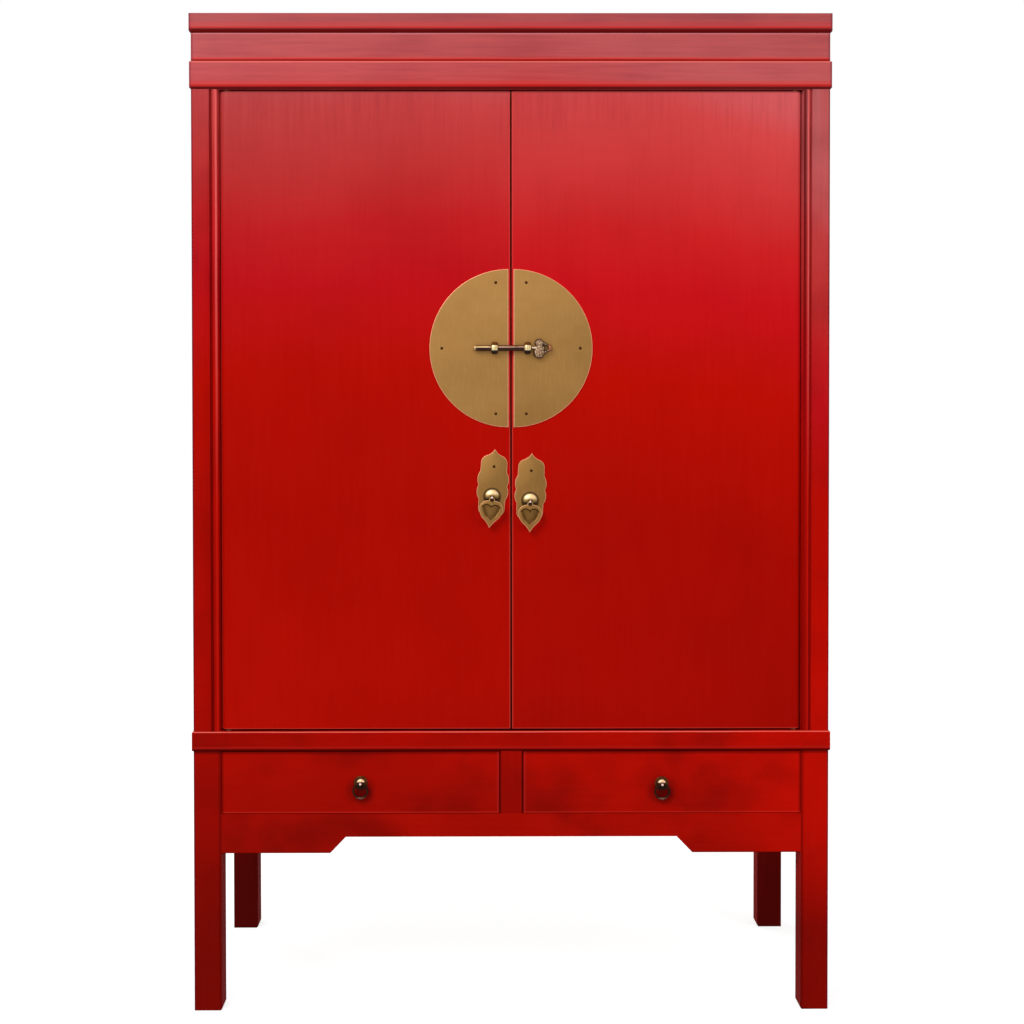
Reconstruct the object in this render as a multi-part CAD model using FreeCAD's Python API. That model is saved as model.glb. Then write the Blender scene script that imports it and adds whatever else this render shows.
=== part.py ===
import FreeCAD, Part
import math
import os
from FreeCAD import Vector

# Wedding cabinet in millimetres: +Z up, the doors face -Y, and the origin is on the floor
# under the middle of the case.

# Case, measured over the posts, and the levels from the floor up and from the top down
case_width = 1194.0
case_depth = 550.0
case_height = 1870.0
post_size = 52.0
post_round = 3.0
arris = 1.0
leg_clear_height = 297.5
apron_height = 74.0
drawer_opening_height = 118.5
belt_height = 37.0
top_frame_height = 36.5
frieze_height = 52.5
band_height = 52.0

# Joints of the case
joint_gap = 0.2
housing_depth = 10.0
tenon_length = 20.0
tenon_thickness = 12.0
tenon_inset = 3.0
tenon_shoulder = 5.0
overrun = 5.0
near = 0.01
foot_chamfer_width = 8.5
foot_chamfer_height = 14.0

# Rings of rails round the posts
moulding_proud = 3.0
belt_depth = 35.0
band_depth = 28.5
frieze_depth = 22.0
belt_round = 3.5
band_round_top = 3.0
band_round_low = 5.0
top_overhang = 3.5
top_frame_width = 60.0
top_round_low = 6.0
top_round_high = 2.0
top_tenon_size = 28.0
top_tenon_height = 12.0
top_panel_thickness = 16.0
top_panel_drop = 1.5
top_tongue_thickness = 8.0
groove_depth = 8.0

# Panels of the sides and back
panel_thickness = 12.0
panel_recess = 8.0
back_stile_width = 44.0
back_stile_thickness = 24.0
back_stile_recess = 2.0
back_stile_tenon_width = 24.0

# Floor, shelves and door stop inside
floor_thickness = 15.0
floor_drop = 3.0
floor_rebate = 10.0
fitting_gap = 0.5
shelf_thickness = 18.0
shelf_heights = (925.0, 1325.0)
shelf_front_gap = 1.0
shelf_back_gap = 1.0
cleat_width = 16.0
cleat_height = 18.0
stop_end_gap = 45.0
stop_thickness = 16.0
stop_lap = 12.0
stop_rise = 30.0

# Bead strips beside the doors
strip_width = 16.0
strip_depth = 25.0
strip_bead_width = 12.0
strip_quirk_depth = 9.0
strip_tongue = 6.0
strip_tongue_thickness = 6.0
strip_tongue_depth = 12.0
strip_running_gap = 3.0
notch_length = 28.0
notch_width = 1.8
left_notch_drop = 35.0
right_notch_drop = 74.0

# Doors
door_thickness = 24.0
door_setback = 4.0
door_side_gap = 0.5
door_middle_gap = 3.0
door_low_gap = 3.5
door_high_gap = 3.0
pivot_radius = 5.0
pivot_fit = 0.05
pivot_length = 48.0
pivot_socket_depth = 20.0
pivot_end_gap = 0.2
batten_width = 40.0
batten_flare = 3.0
batten_in = 8.0
batten_proud = 16.0
batten_meeting_inset = 40.0
batten_hinge_inset = 60.0
batten_places_share = (0.09, 0.5, 0.91)

# Drawers and what carries them
divider_width = 42.0
divider_thickness = 25.0
divider_tenon_width = 24.0
divider_tenon_length = 15.0
divider_tenon_thickness = 10.0
divider_tenon_inset = 5.0
drawer_side_gap = 1.5
drawer_high_gap = 1.5
drawer_low_gap = 1.5
drawer_setback = 0.5
drawer_front_thickness = 20.0
drawer_back_gap = 58.5
drawer_wall = 12.0
drawer_side_inset = 2.0
drawer_side_lap = 10.0
drawer_side_height = 100.0
drawer_bottom_thickness = 6.0
drawer_bottom_rise = 8.0
drawer_bottom_groove = 6.0
drawer_slide_gap = 0.3
runner_width = 30.0
runner_height = 20.0
runner_tenon = 6.0
runner_tenon_shoulder = 4.0
guide_height = 24.0
guide_gap = 1.5

# Aprons
front_apron_thickness = 22.0
side_apron_thickness = 18.0
side_apron_setback = 3.0
apron_rise = 30.5
apron_end_share = 0.375
apron_slant = 29.5

# Round lock plate and its staples and pin
lock_height = 1246.0
moon_radius = 148.0
moon_edge_inset = 4.7
moon_thickness = 2.5
moon_nail_inset = 23.0
moon_nail_angle = 79.0
nail_radius = 1.4
nail_length = 16.0
nail_head_radius = 2.5
nail_head_height = 1.2
staple_spacing = 61.8
staple_width = 12.0
staple_radius = 9.6
staple_bevel = 2.2
staple_stem_radius = 3.0
staple_standoff = 1.0
clinch_length = 12.0
clinch_thickness = 1.6
stem_gap = 0.1
pin_radius = 3.5
pin_gap = 0.3
pin_tip_reach = 32.8
pin_neck_radius = 2.4
pin_neck_length = 12.0
pin_bead_radii = (5.0, 3.6)

# Cast head of the lock pin
head_thickness = 7.0
head_bevel = 2.0
head_upper_radius = 7.2
head_lower_radius = 8.4
head_middle_radius = 6.2
head_lobe_rise = 9.0
head_lobe_reach = 3.5
head_knob_reach = 24.5
head_knob_radius = 3.4
head_arm_radius = 1.9
head_arm_bow = 3.4

# Door pulls: lobed plate, boss with its split pin, and the hanging pendant
plate_height = 138.0
plate_width = 59.0
plate_thickness = 2.5
plate_boss_drop = 89.5
plate_nail_drop = 33.0
boss_radius = 14.5
boss_height = 6.0
eye_radius = 4.4
eye_wire = 1.2
eye_width = 2.0
eye_stem_radius = 1.9
eye_standoff = 0.4
left_pull_inset = 35.7
left_pull_drop = 278.0
left_plate_lean = 3.7
left_pendant_lean = 5.3
right_pull_inset = 35.6
right_pull_drop = 285.8
right_plate_lean = 2.3
right_pendant_lean = 1.0
pendant_drop = 54.0
pendant_width = 44.0
pendant_thickness = 2.4
pendant_hole_radius = 2.3
heart_width = 31.0
heart_top_drop = 11.3
heart_tip_drop = 40.2

# Ring pulls of the drawers
left_ring_height = 430.0
right_ring_height = 428.0
rose_radius = 13.0
rose_thickness = 1.5
rose_boss_radius = 8.0
rose_boss_height = 4.5
rose_eye_width = 5.5
rose_eye_radius = 4.3
rose_eye_bevel = 1.3
rose_eye_hole = 2.5
ring_radius = 13.2
ring_wire = 1.85
ring_bead_radius = 2.7

# Lobed plate: one quarter from the tip to the middle notch, as (via, end) pairs whose values
# are shares of the half width and the half height; a pair with no via is a straight line.
plate_quarter_shares = (
    ((0.19, 0.895), (0.44, 0.826)),
    ((0.72, 0.752), (0.834, 0.652)),
    (None, (0.848, 0.377)),
    ((1.0, 0.2), (0.912, 0.0)),
)
# Pendant: the right half from its top to its tip, as shares of the half width and of the drop
# from the hole to the tip
pendant_top_share = 0.0685
pendant_half_shares = (
    ((0.18, -0.038), (0.25, 0.05)),
    ((0.72, 0.105), (1.0, 0.30)),
    ((0.9, 0.52), (0.5, 0.73)),
    ((0.2, 0.87), (0.0, 1.0)),
)
# Heart: the right half from the notch to the tip, as shares of the half width and its height
heart_notch_share = 0.22
heart_half_shares = (
    ((0.48, 0.0), (1.0, 0.18)),
    ((0.74, 0.56), (0.0, 1.0)),
)

# Flat facets round the turned hardware, its shanks and the rings, round the wire of a ring,
# from pole to pole of a bead, and along each arc of a cut outline
turned_facets = 16
shank_facets = 6
ring_facets = 20
wire_facets = 6
dome_bands = 3
arc_facets = 4

# Levels and faces that follow from the sizes above
half_width = case_width / 2
half_depth = case_depth / 2
post_inner_x = half_width - post_size
post_inner_y = half_depth - post_size
front_y = -half_depth
apron_low_z = leg_clear_height
apron_top_z = apron_low_z + apron_height
belt_low_z = apron_top_z + drawer_opening_height
belt_top_z = belt_low_z + belt_height
frame_low_z = case_height - top_frame_height
frieze_low_z = frame_low_z - frieze_height
band_low_z = frieze_low_z - band_height
floor_top_z = belt_top_z - floor_drop
door_low_z = belt_top_z + door_low_gap
door_high_z = band_low_z - door_high_gap
door_front_y = front_y + door_setback
door_back_y = door_front_y + door_thickness
pivot_x = post_inner_x - door_side_gap - door_thickness / 2
pivot_y = door_front_y + door_thickness / 2
moon_front_y = door_front_y - moon_thickness
plate_front_y = door_front_y - plate_thickness
pin_y = moon_front_y - staple_standoff - staple_radius
eye_y = plate_front_y - boss_height - eye_standoff - eye_radius - eye_wire
drawer_front_y = front_y + drawer_setback
rose_eye_y = drawer_front_y - rose_thickness - rose_boss_height - rose_eye_radius
side_panel_x = (half_width - panel_recess - panel_thickness, half_width - panel_recess)
back_panel_y = (half_depth - panel_recess - panel_thickness, half_depth - panel_recess)

right_angle = 90.0
to_right = Vector(1, 0, 0)
to_back = Vector(0, 1, 0)
to_top = Vector(0, 0, 1)
sides = (("left", -1), ("right", 1))


def block(xs, ys, zs):
    """Box that spans three ranges, whichever end of each comes first."""
    size = [max(span) - min(span) for span in (xs, ys, zs)]
    return Part.makeBox(*size, Vector(min(xs), min(ys), min(zs)))


def both(value):
    """Range as far on either side of the middle."""
    return (-value, value)


def drum(radius, start, end):
    """Round bar between two points."""
    axis = end - start
    return Part.makeCylinder(radius, axis.Length, start, axis)


def outline(centre, across, up, radius, facets):
    """Corners of a regular outline round a centre, in the plane of two directions."""
    step = math.tau / facets
    return [centre + across * (radius * math.cos(i * step)) + up * (radius * math.sin(i * step))
            for i in range(facets)]


def skin(sections, closed=False):
    """Solid with flat facets between outlines of equally many corners."""
    spans = list(zip(sections, sections[1:]))
    loops = [sections[0], sections[-1]]
    if closed:
        spans.append((sections[-1], sections[0]))
        loops = []
    for low, high in spans:
        loops += [[low[i - 1], low[i], high[i], high[i - 1]] for i in range(len(low))]
    faces = [Part.Face(Part.makePolygon(loop + loop[:1])) for loop in loops]
    return Part.makeSolid(Part.makeShell(faces))


def spindle(start, way, profile, facets):
    """Faceted turned piece from (distance, radius) pairs measured along a direction."""
    across = to_top if abs(way.y) > near else to_back
    up = way.cross(across)
    return skin([outline(start + way * reach, across, up, radius, facets) for reach, radius in profile])


def shank(radius, start, end):
    """Faceted bar between two points."""
    axis = end - start
    length = axis.Length
    return spindle(start, axis.normalize(), ((0, radius), (length, radius)), shank_facets)


def bead(centre, way, radius, facets):
    """Faceted bead threaded along a direction."""
    turns = [math.pi * (band + 1) / (dome_bands + 1) for band in range(dome_bands)]
    profile = [(-radius * math.cos(turn), radius * math.sin(turn)) for turn in turns]
    return spindle(centre, way, profile, facets)


def prism(points, low, high):
    """Upright prism on a plan outline."""
    corners = [Vector(x, y, low) for x, y in points]
    outline = Part.makePolygon(corners + corners[:1])
    return Part.Face(outline).extrude(Vector(0, 0, high - low))


def sheet(points, low_y, high_y):
    """Flat piece upright in the XZ plane from (x, z) corners, between two depths."""
    corners = [Vector(x, low_y, z) for n, (x, z) in enumerate(points)
               if Vector(x - points[n - 1][0], z - points[n - 1][1], 0).Length > near]
    return Part.Face(Part.makePolygon(corners + corners[:1])).extrude(Vector(0, high_y - low_y, 0))


def chords(start, via, end):
    """Points (x, z) along the arc from start through via to end, without start; with no via, only end."""
    if via is None:
        return [end]
    arc = Part.Arc(*[Vector(x, 0, z) for x, z in (start, via, end)]).toShape()
    return [(point.x, point.z) for point in arc.discretize(arc_facets + 1)[1:]]


def traced(first, spans):
    """Points of half an outline from its first point and its (via, end) spans."""
    points = [first]
    for via, end in spans:
        points += chords(points[-1], via, end)
    return points


def scaled(spans, width, height):
    """Spans given as shares, brought to size."""
    return [tuple((width * p[0], height * p[1]) if p else None for p in span) for span in spans]


def flipped(points):
    """The points of a right half followed by those of its mirror image, back to the start."""
    return points + [(-x, z) for x, z in reversed(points)]


def runs_along(edge, axis):
    """Whether an edge is straight and parallel to X, Y or Z, given as 0, 1 or 2."""
    if len(edge.Vertexes) < 2:
        return False
    step = edge.Vertexes[1].Point - edge.Vertexes[0].Point
    return abs(abs(step[axis]) - edge.Length) < near


def eased(shape, radius, wanted):
    """The shape with the edges that wanted picks rounded over."""
    picked = [edge for edge in shape.Edges if wanted(edge)]
    return shape.makeFillet(radius, picked)


def bevelled(shape, wanted):
    """The shape with a narrow flat bevel along the edges that wanted picks."""
    picked = [edge for edge in shape.Edges if wanted(edge)]
    return shape.makeChamfer(arris, picked)


def merged(shapes):
    """One solid made of touching shapes, without the seams between them."""
    return shapes[0].fuse(shapes[1:]).removeSplitter()


def turned(shape, quarters):
    """Copy turned about the upright axis by quarter turns."""
    copy = shape.copy()
    copy.rotate(Vector(), Vector(0, 0, 1), right_angle * quarters)
    return copy


def mirrored(shape, side):
    """The right-hand shape itself, or its mirror image for the left."""
    if side > 0:
        return shape
    return shape.mirror(Vector(), Vector(1, 0, 0))


def placed(shape, x, y, z, lean=0.0):
    """Copy of a piece of hardware leant in the front plane and moved to its place."""
    copy = shape.copy()
    copy.rotate(Vector(), Vector(0, 1, 0), lean)
    copy.translate(Vector(x, y, z))
    return copy


def rounded_plan(half_x, half_y, radius, low, high):
    """Upright block over the whole plan with its four corners rounded."""
    whole = block(both(half_x), both(half_y), (low, high))
    return eased(whole, radius, lambda edge: runs_along(edge, 2))


def lip(along, across, back, zs, low_round, high_round):
    """Front member of a mitred ring, with its outer low and high edges rounded."""
    low, high = zs
    bar = block(both(along), (-across, -back), zs)
    for level, radius in ((low, low_round), (high, high_round)):
        bar = eased(bar, radius, lambda edge: runs_along(edge, 0)
                    and abs(edge.CenterOfMass.z - level) < near
                    and abs(edge.CenterOfMass.y + across) < near)
    inner = along - (across - back)
    mitre = prism([(-along, -across), (along, -across), (inner, -back), (-inner, -back)], low, high)
    return bar.common(mitre).common(rounded_plan(along, across, post_round, low, high))


def tenon_block(along, across, zs, gap):
    """Both tenons of a front rail as one bar, grown by a gap for the mortises."""
    front = across - housing_depth - tenon_inset
    reach = along - post_size + tenon_length
    return block(both(reach + gap), (-front - gap, -front + tenon_thickness + gap),
                 (zs[0] + tenon_shoulder - gap, zs[1] - tenon_shoulder + gap))


def ring_rail(along, across, zs, proud, depth, low_round, high_round):
    """Front rail of a ring: a mitred lip round the posts, a body between them and two tenons."""
    back = across - housing_depth
    outer = lip(along + proud, across + proud, back, zs, low_round, high_round)
    body = block(both(along - post_size), (-back, depth - across), zs)
    return merged([outer, body, tenon_block(along, across, zs, 0)])


def ring(zs, proud, depth, low_round, high_round):
    """The four rails of a ring, and what they take out of the posts."""
    front = ring_rail(half_width, half_depth, zs, proud, depth, low_round, high_round)
    end = ring_rail(half_depth, half_width, zs, proud, depth, low_round, high_round)
    room = block(both(half_width + overrun), both(half_depth + overrun), zs)
    core = block(both(half_width - housing_depth), both(half_depth - housing_depth), zs)
    mortises = [turned(tenon_block(half_width, half_depth, zs, joint_gap), 0),
                turned(tenon_block(half_width, half_depth, zs, joint_gap), 2),
                turned(tenon_block(half_depth, half_width, zs, joint_gap), 1),
                turned(tenon_block(half_depth, half_width, zs, joint_gap), 3)]
    rails = {"front": front, "rear": turned(front, 2), "right": turned(end, 1), "left": turned(end, 3)}
    return rails, [room.cut(core)] + mortises


def panel(gap, side):
    """Side panel, or the room that its grooves need when a gap is given."""
    xs = (side_panel_x[0] - gap, side_panel_x[1] + gap)
    shape = block(xs, both(post_inner_y + groove_depth - joint_gap + gap),
                  (belt_top_z - groove_depth + joint_gap - gap, band_low_z + groove_depth - joint_gap + gap))
    return mirrored(shape, side)


def back_panel(gap, side):
    """Half of the back, or the room that its grooves need when a gap is given."""
    ys = (back_panel_y[0] - gap, back_panel_y[1] + gap)
    inner = back_stile_width / 2 - groove_depth + joint_gap - gap
    outer = post_inner_x + groove_depth - joint_gap + gap
    shape = block((inner, outer), ys,
                  (belt_top_z - groove_depth + joint_gap - gap, band_low_z + groove_depth - joint_gap + gap))
    return mirrored(shape, side)


def back_stile():
    """Upright between the halves of the back, tenoned into the rear rails."""
    back = half_depth - back_stile_recess
    body = block(both(back_stile_width / 2), (back - back_stile_thickness, back), (belt_top_z, band_low_z))
    tenon = back_stile_tenon(0)
    stile = merged([body, tenon])
    return stile.cut([back_panel(joint_gap, 1), back_panel(joint_gap, -1)])


def back_stile_tenon(gap):
    """Bar that runs the length of the stile and its two tenons."""
    half = back_stile_tenon_width / 2 - joint_gap
    return block(both(half + gap), (back_panel_y[0] + joint_gap - gap, back_panel_y[1] - joint_gap + gap),
                 (belt_top_z - tenon_length - gap, band_low_z + tenon_length + gap))


def main_floor():
    """Floor of the door compartment, notched round the posts."""
    half_x = half_width - belt_depth + floor_rebate - fitting_gap
    half_y = half_depth - belt_depth + floor_rebate - fitting_gap
    board = block(both(half_x), both(half_y), (floor_top_z - floor_thickness, floor_top_z))
    corners = [block((x * (post_inner_x - fitting_gap), x * half_width),
                     (y * (post_inner_y - fitting_gap), y * half_depth),
                     (floor_top_z - floor_thickness, floor_top_z)) for x in (-1, 1) for y in (-1, 1)]
    return board.cut(corners)


def floor_room():
    """What the floor takes out of the belt rails."""
    half_x = half_width - belt_depth + floor_rebate
    half_y = half_depth - belt_depth + floor_rebate
    return block(both(half_x), both(half_y), (floor_top_z - floor_thickness, belt_top_z + overrun))


def shelf(height):
    """Shelf between the side panels, notched round the rear posts."""
    half_x = side_panel_x[0] - fitting_gap
    back = half_depth - back_stile_recess - back_stile_thickness - shelf_back_gap
    front = -post_inner_y + shelf_front_gap
    board = block(both(half_x), (front, back), (height - shelf_thickness, height))
    corners = [block((x * (post_inner_x - fitting_gap), x * half_width),
                     (post_inner_y - fitting_gap, half_depth),
                     (height - shelf_thickness, height)) for x in (-1, 1)]
    return board.cut(corners)


def shelf_cleats():
    """Strips on the side panels under both ends of each shelf."""
    pieces = []
    for height in shelf_heights:
        top = height - shelf_thickness
        for side in (-1, 1):
            pieces.append(block((side * (side_panel_x[0] - cleat_width), side * side_panel_x[0]),
                                both(post_inner_y - fitting_gap), (top - cleat_height, top)))
    return Part.makeCompound(pieces)


def post(rear, cutters):
    """Right-hand post with its tenon at the top and the chamfered inner corner of its foot."""
    y_sign = 1 if rear else -1
    ys = (y_sign * post_inner_y, y_sign * half_depth)
    body = block((post_inner_x, half_width), ys, (0, frame_low_z))
    body = eased(body, post_round, lambda edge: runs_along(edge, 2)
                 and abs(edge.CenterOfMass.x - half_width) < near
                 and abs(abs(edge.CenterOfMass.y) - half_depth) < near)
    inner = post_inner_x
    chamfer = sheet([(inner, 0), (inner + foot_chamfer_width, 0), (inner, foot_chamfer_height)],
                    min(ys), max(ys))
    top = top_tenon(1, y_sign, 0)
    return merged([body, top]).cut([chamfer] + cutters)


def top_tenon(x_sign, y_sign, gap):
    """Square tenon on a post's head."""
    x = x_sign * (half_width - post_size / 2)
    y = y_sign * (half_depth - post_size / 2)
    half = top_tenon_size / 2 + gap
    return block((x - half, x + half), (y - half, y + half),
                 (frame_low_z - joint_gap, frame_low_z + top_tenon_height + gap))


def strip_room():
    """What the right-hand bead strip takes out of the front post."""
    edge = post_inner_x - door_side_gap + strip_running_gap + strip_width
    rebate = block((post_inner_x - overrun, edge), (front_y - overrun, front_y + strip_depth),
                   (belt_top_z, band_low_z))
    back = front_y + strip_tongue_depth
    groove = block((edge - overrun, edge + strip_tongue), (back, back + strip_tongue_thickness),
                   (belt_top_z, band_low_z))
    return [rebate, groove]


def jamb_strip(notch_drop):
    """Right-hand strip: half-round bead, quirk beside it, tongue into the post, finger notch."""
    inner = post_inner_x - door_side_gap + strip_running_gap
    bead_end = inner + strip_bead_width
    edge = inner + strip_width - joint_gap
    bead_y = front_y + strip_bead_width / 2
    quirk_y = front_y + strip_quirk_depth
    tongue_y = front_y + strip_tongue_depth + joint_gap
    tongue_back = tongue_y + strip_tongue_thickness - 2 * joint_gap
    tongue_x = edge + strip_tongue - joint_gap
    back = front_y + strip_depth - joint_gap
    low = belt_top_z
    high = band_low_z - joint_gap
    corners = [(inner, back), (inner, bead_y), (bead_end, bead_y), (bead_end, quirk_y), (edge, quirk_y),
               (edge, tongue_y), (tongue_x, tongue_y), (tongue_x, tongue_back), (edge, tongue_back),
               (edge, back)]
    bead = drum(strip_bead_width / 2, Vector(inner + strip_bead_width / 2, bead_y, low),
                Vector(inner + strip_bead_width / 2, bead_y, high))
    strip = merged([prism(corners, low, high), bead])
    scoop = (notch_length ** 2 / 4 + notch_width ** 2) / (2 * notch_width)
    centre_x = bead_end + scoop - notch_width
    centre_z = band_low_z - notch_drop
    notch = drum(scoop, Vector(centre_x, front_y - overrun, centre_z), Vector(centre_x, quirk_y, centre_z))
    return strip.cut(notch)


def cutout(span, low, thick_ys):
    """Room under an apron: straight ends, slanted steps and a higher middle."""
    foot = span * (1 - apron_end_share)
    head = foot - apron_slant
    corners = [(-foot, low - overrun), (-foot, low), (-head, low + apron_rise), (head, low + apron_rise),
               (foot, low), (foot, low - overrun)]
    return sheet(corners, *thick_ys)


def apron(along, across, top, thickness, setback):
    """Front apron between two posts with its tenons, and their mortises."""
    face = -across + setback
    span = along - post_size
    ys = (face, face + thickness)
    board = block(both(span), ys, (apron_low_z, top))
    middle = face + thickness / 2
    zs = (apron_low_z + tenon_shoulder, top - tenon_shoulder)
    tenon = block(both(span + tenon_length), (middle - tenon_thickness / 2, middle + tenon_thickness / 2), zs)
    mortise = block(both(span + tenon_length + joint_gap),
                    (middle - tenon_thickness / 2 - joint_gap, middle + tenon_thickness / 2 + joint_gap),
                    (zs[0] - joint_gap, zs[1] + joint_gap))
    return merged([board, tenon]).cut(cutout(span, apron_low_z, ys)), mortise


def divider(gap):
    """Upright between the drawers; with a gap, only the room for its tenons."""
    back = front_y + divider_thickness
    tenon_y = front_y + divider_tenon_inset
    tenon = block(both(divider_tenon_width / 2 + gap),
                  (tenon_y - gap, tenon_y + divider_tenon_thickness + gap),
                  (apron_top_z - divider_tenon_length - gap, belt_low_z + divider_tenon_length + gap))
    if gap:
        return tenon
    body = block(both(divider_width / 2), (front_y, back), (apron_top_z, belt_low_z))
    return merged([body, tenon])


def runners():
    """Three rails that carry the drawers and guide their sides, and the room for their tenons."""
    front = front_y + front_apron_thickness
    back = half_depth - side_apron_setback - side_apron_thickness
    low = apron_top_z - runner_height
    guide_top = apron_top_z + guide_height
    drawer_outer = post_inner_x - drawer_side_gap - drawer_side_inset
    drawer_inner = divider_width / 2 + drawer_side_gap + drawer_side_inset
    apron_face = half_width - side_apron_setback - side_apron_thickness
    tenon_zs = (low + runner_tenon_shoulder, apron_top_z - runner_tenon_shoulder)
    pieces = []
    rooms = []
    for side in (-1, 1):
        xs = (side * (post_inner_x - joint_gap - runner_width), side * (post_inner_x - joint_gap))
        rail = block(xs, (front, back), (low, apron_top_z))
        guide = block((side * (drawer_outer + guide_gap), side * apron_face), both(post_inner_y - joint_gap),
                      (low, guide_top))
        bar = block((side * (post_inner_x - runner_width), side * (post_inner_x - runner_tenon_shoulder)),
                    (front - runner_tenon, back + runner_tenon), tenon_zs)
        pieces.append(merged([rail, guide, bar]))
        rooms.append(bar)
    half = drawer_inner + runner_width - guide_gap
    rail = block(both(half), (front, back), (low, apron_top_z))
    guide = block(both(drawer_inner - guide_gap), (front_y + divider_thickness, back), (low, guide_top))
    bar = block(both(half - runner_tenon_shoulder), (front - runner_tenon, back + runner_tenon), tenon_zs)
    pieces.append(merged([rail, guide, bar]))
    rooms.append(bar)
    return Part.makeCompound(pieces), rooms


def top_frame_member(along, across):
    """Front member of the mitred top frame, grooved for its panel."""
    back = across - top_frame_width
    bar = lip(along, across, back, (frame_low_z, case_height), top_round_low, top_round_high)
    return bar


def top_panel(gap):
    """Floating panel of the top with a tongue all round."""
    half_x = half_width + top_overhang - top_frame_width
    half_y = half_depth + top_overhang - top_frame_width
    high = case_height - top_panel_drop
    low = high - top_panel_thickness
    middle = (low + high) / 2
    reach = groove_depth - joint_gap + gap
    tongue = block(both(half_x + reach), both(half_y + reach),
                   (middle - top_tongue_thickness / 2 - gap, middle + top_tongue_thickness / 2 + gap))
    if gap:
        return tongue
    return merged([block(both(half_x - joint_gap), both(half_y - joint_gap), (low, high)), tongue])


def batten(height):
    """Dovetailed batten on the back of the right-hand door."""
    half = batten_width / 2
    root_y = door_back_y - batten_in
    proud_y = door_back_y + batten_proud
    low_x = door_middle_gap / 2 + batten_meeting_inset
    length = pivot_x - batten_hinge_inset - low_x
    points = [(root_y, -half - batten_flare), (door_back_y, -half), (proud_y, -half), (proud_y, half),
              (door_back_y, half), (root_y, half + batten_flare)]
    corners = [Vector(low_x, y, height + z) for y, z in points]
    bar = Part.Face(Part.makePolygon(corners + corners[:1])).extrude(Vector(length, 0, 0))
    return bevelled(bar, lambda edge: abs(edge.CenterOfMass.y - proud_y) < near)


def batten_heights():
    """Heights of the battens on a door."""
    return [door_low_z + share * (door_high_z - door_low_z) for share in batten_places_share]


def door_slab(side, stems):
    """Door with a full-round hinge edge, sockets for its pivots and battens, and stem holes."""
    zs = (door_low_z, door_high_z)
    slab = block((door_middle_gap / 2, pivot_x), (door_front_y, door_back_y), zs)
    edge = drum(door_thickness / 2, Vector(pivot_x, pivot_y, zs[0]), Vector(pivot_x, pivot_y, zs[1]))
    slab = merged([slab, edge])
    slab = bevelled(slab, lambda edge: abs(edge.CenterOfMass.z - zs[0]) < near
                    or abs(edge.CenterOfMass.z - zs[1]) < near
                    or (runs_along(edge, 2) and abs(edge.CenterOfMass.x - door_middle_gap / 2) < near))
    sockets = [batten(height) for height in batten_heights()]
    for rail_z, way in ((belt_top_z, 1), (band_low_z, -1)):
        depth = pivot_length + pivot_end_gap - pivot_socket_depth
        sockets.append(drum(pivot_radius, Vector(pivot_x, pivot_y, rail_z),
                            Vector(pivot_x, pivot_y, rail_z + way * depth)))
    return mirrored(slab.cut(sockets), side).cut(stems)


def door_pivots(side):
    """Pins in both ends of the hinge edge; the lower one stands in its socket and carries the door."""
    pins = []
    for rail_z, way in ((belt_top_z, 1), (band_low_z, -1)):
        start = Vector(pivot_x, pivot_y, rail_z - way * (pivot_socket_depth - pivot_end_gap))
        pins.append(drum(pivot_radius, start, start + Vector(0, 0, way * pivot_length)))
    return mirrored(Part.makeCompound(pins), side)


def pivot_sockets():
    """Holes in the belt and band rails for the pins of both doors."""
    holes = []
    for side in (-1, 1):
        for rail_z, way in ((belt_top_z, -1), (band_low_z, 1)):
            mouth = Vector(side * pivot_x, pivot_y, rail_z - way * overrun)
            bottom = Vector(side * pivot_x, pivot_y, rail_z + way * pivot_socket_depth)
            holes.append(drum(pivot_radius + pivot_fit, mouth, bottom))
    return holes


def cap_profile(radius, height):
    """Low dome as (rise, radius) pairs."""
    sphere_radius = (radius ** 2 + height ** 2) / (2 * height)
    rim_turn = math.asin(radius / sphere_radius)
    turns = [rim_turn * (dome_bands - band) / dome_bands for band in range(dome_bands)]
    return [(height - sphere_radius * (1 - math.cos(turn)), sphere_radius * math.sin(turn)) for turn in turns]


def nail(x, y, z):
    """Nail with a raised round head on the surface at y."""
    length = nail_head_height + nail_length
    profile = ((0, nail_radius), (nail_head_height, nail_head_radius), (nail_head_height, nail_radius),
               (length, nail_radius))
    return spindle(Vector(x, y - nail_head_height, z), to_back, profile, shank_facets)


def stem(x, z, front, back, radius):
    """Shank of a split pin through the wood, its two ends clinched up and down behind."""
    bar = shank(radius, Vector(x, front, z), Vector(x, back + clinch_thickness, z))
    legs = block((x - radius, x + radius), (back, back + clinch_thickness),
                 (z - clinch_length, z + clinch_length))
    return merged([bar, legs])


def stem_hole(x, z, radius, end):
    """Hole for a shank through what lies on a door or drawer and back to a depth."""
    return shank(radius, Vector(x, door_front_y - boss_radius, z), Vector(x, end, z))


def moon_nails():
    """Nail places (x, z) on the right half of the round plate."""
    reach = moon_radius - moon_nail_inset
    places = []
    for angle in (-moon_nail_angle, 0.0, moon_nail_angle):
        turn = math.radians(angle)
        places.append((moon_edge_inset + reach * math.cos(turn), lock_height + reach * math.sin(turn)))
    return places


def moon_plate():
    """Right half of the round plate."""
    disc = drum(moon_radius, Vector(moon_edge_inset, moon_front_y, lock_height),
                Vector(moon_edge_inset, door_front_y, lock_height))
    half = block((moon_edge_inset, moon_edge_inset + moon_radius), (moon_front_y, door_front_y),
                 (lock_height - moon_radius, lock_height + moon_radius))
    return disc.common(half)


def lying_eye(centre, width, radius, bevel, hole_radius):
    """Heavy eye with bevelled rims whose hole runs from left to right."""
    profile = ((0, radius - bevel), (bevel, radius), (width - bevel, radius), (width, radius - bevel))
    start = centre - to_right * (width / 2)
    reach = to_right * width
    return spindle(start, to_right, profile, turned_facets), drum(hole_radius, centre - reach, centre + reach)


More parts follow.
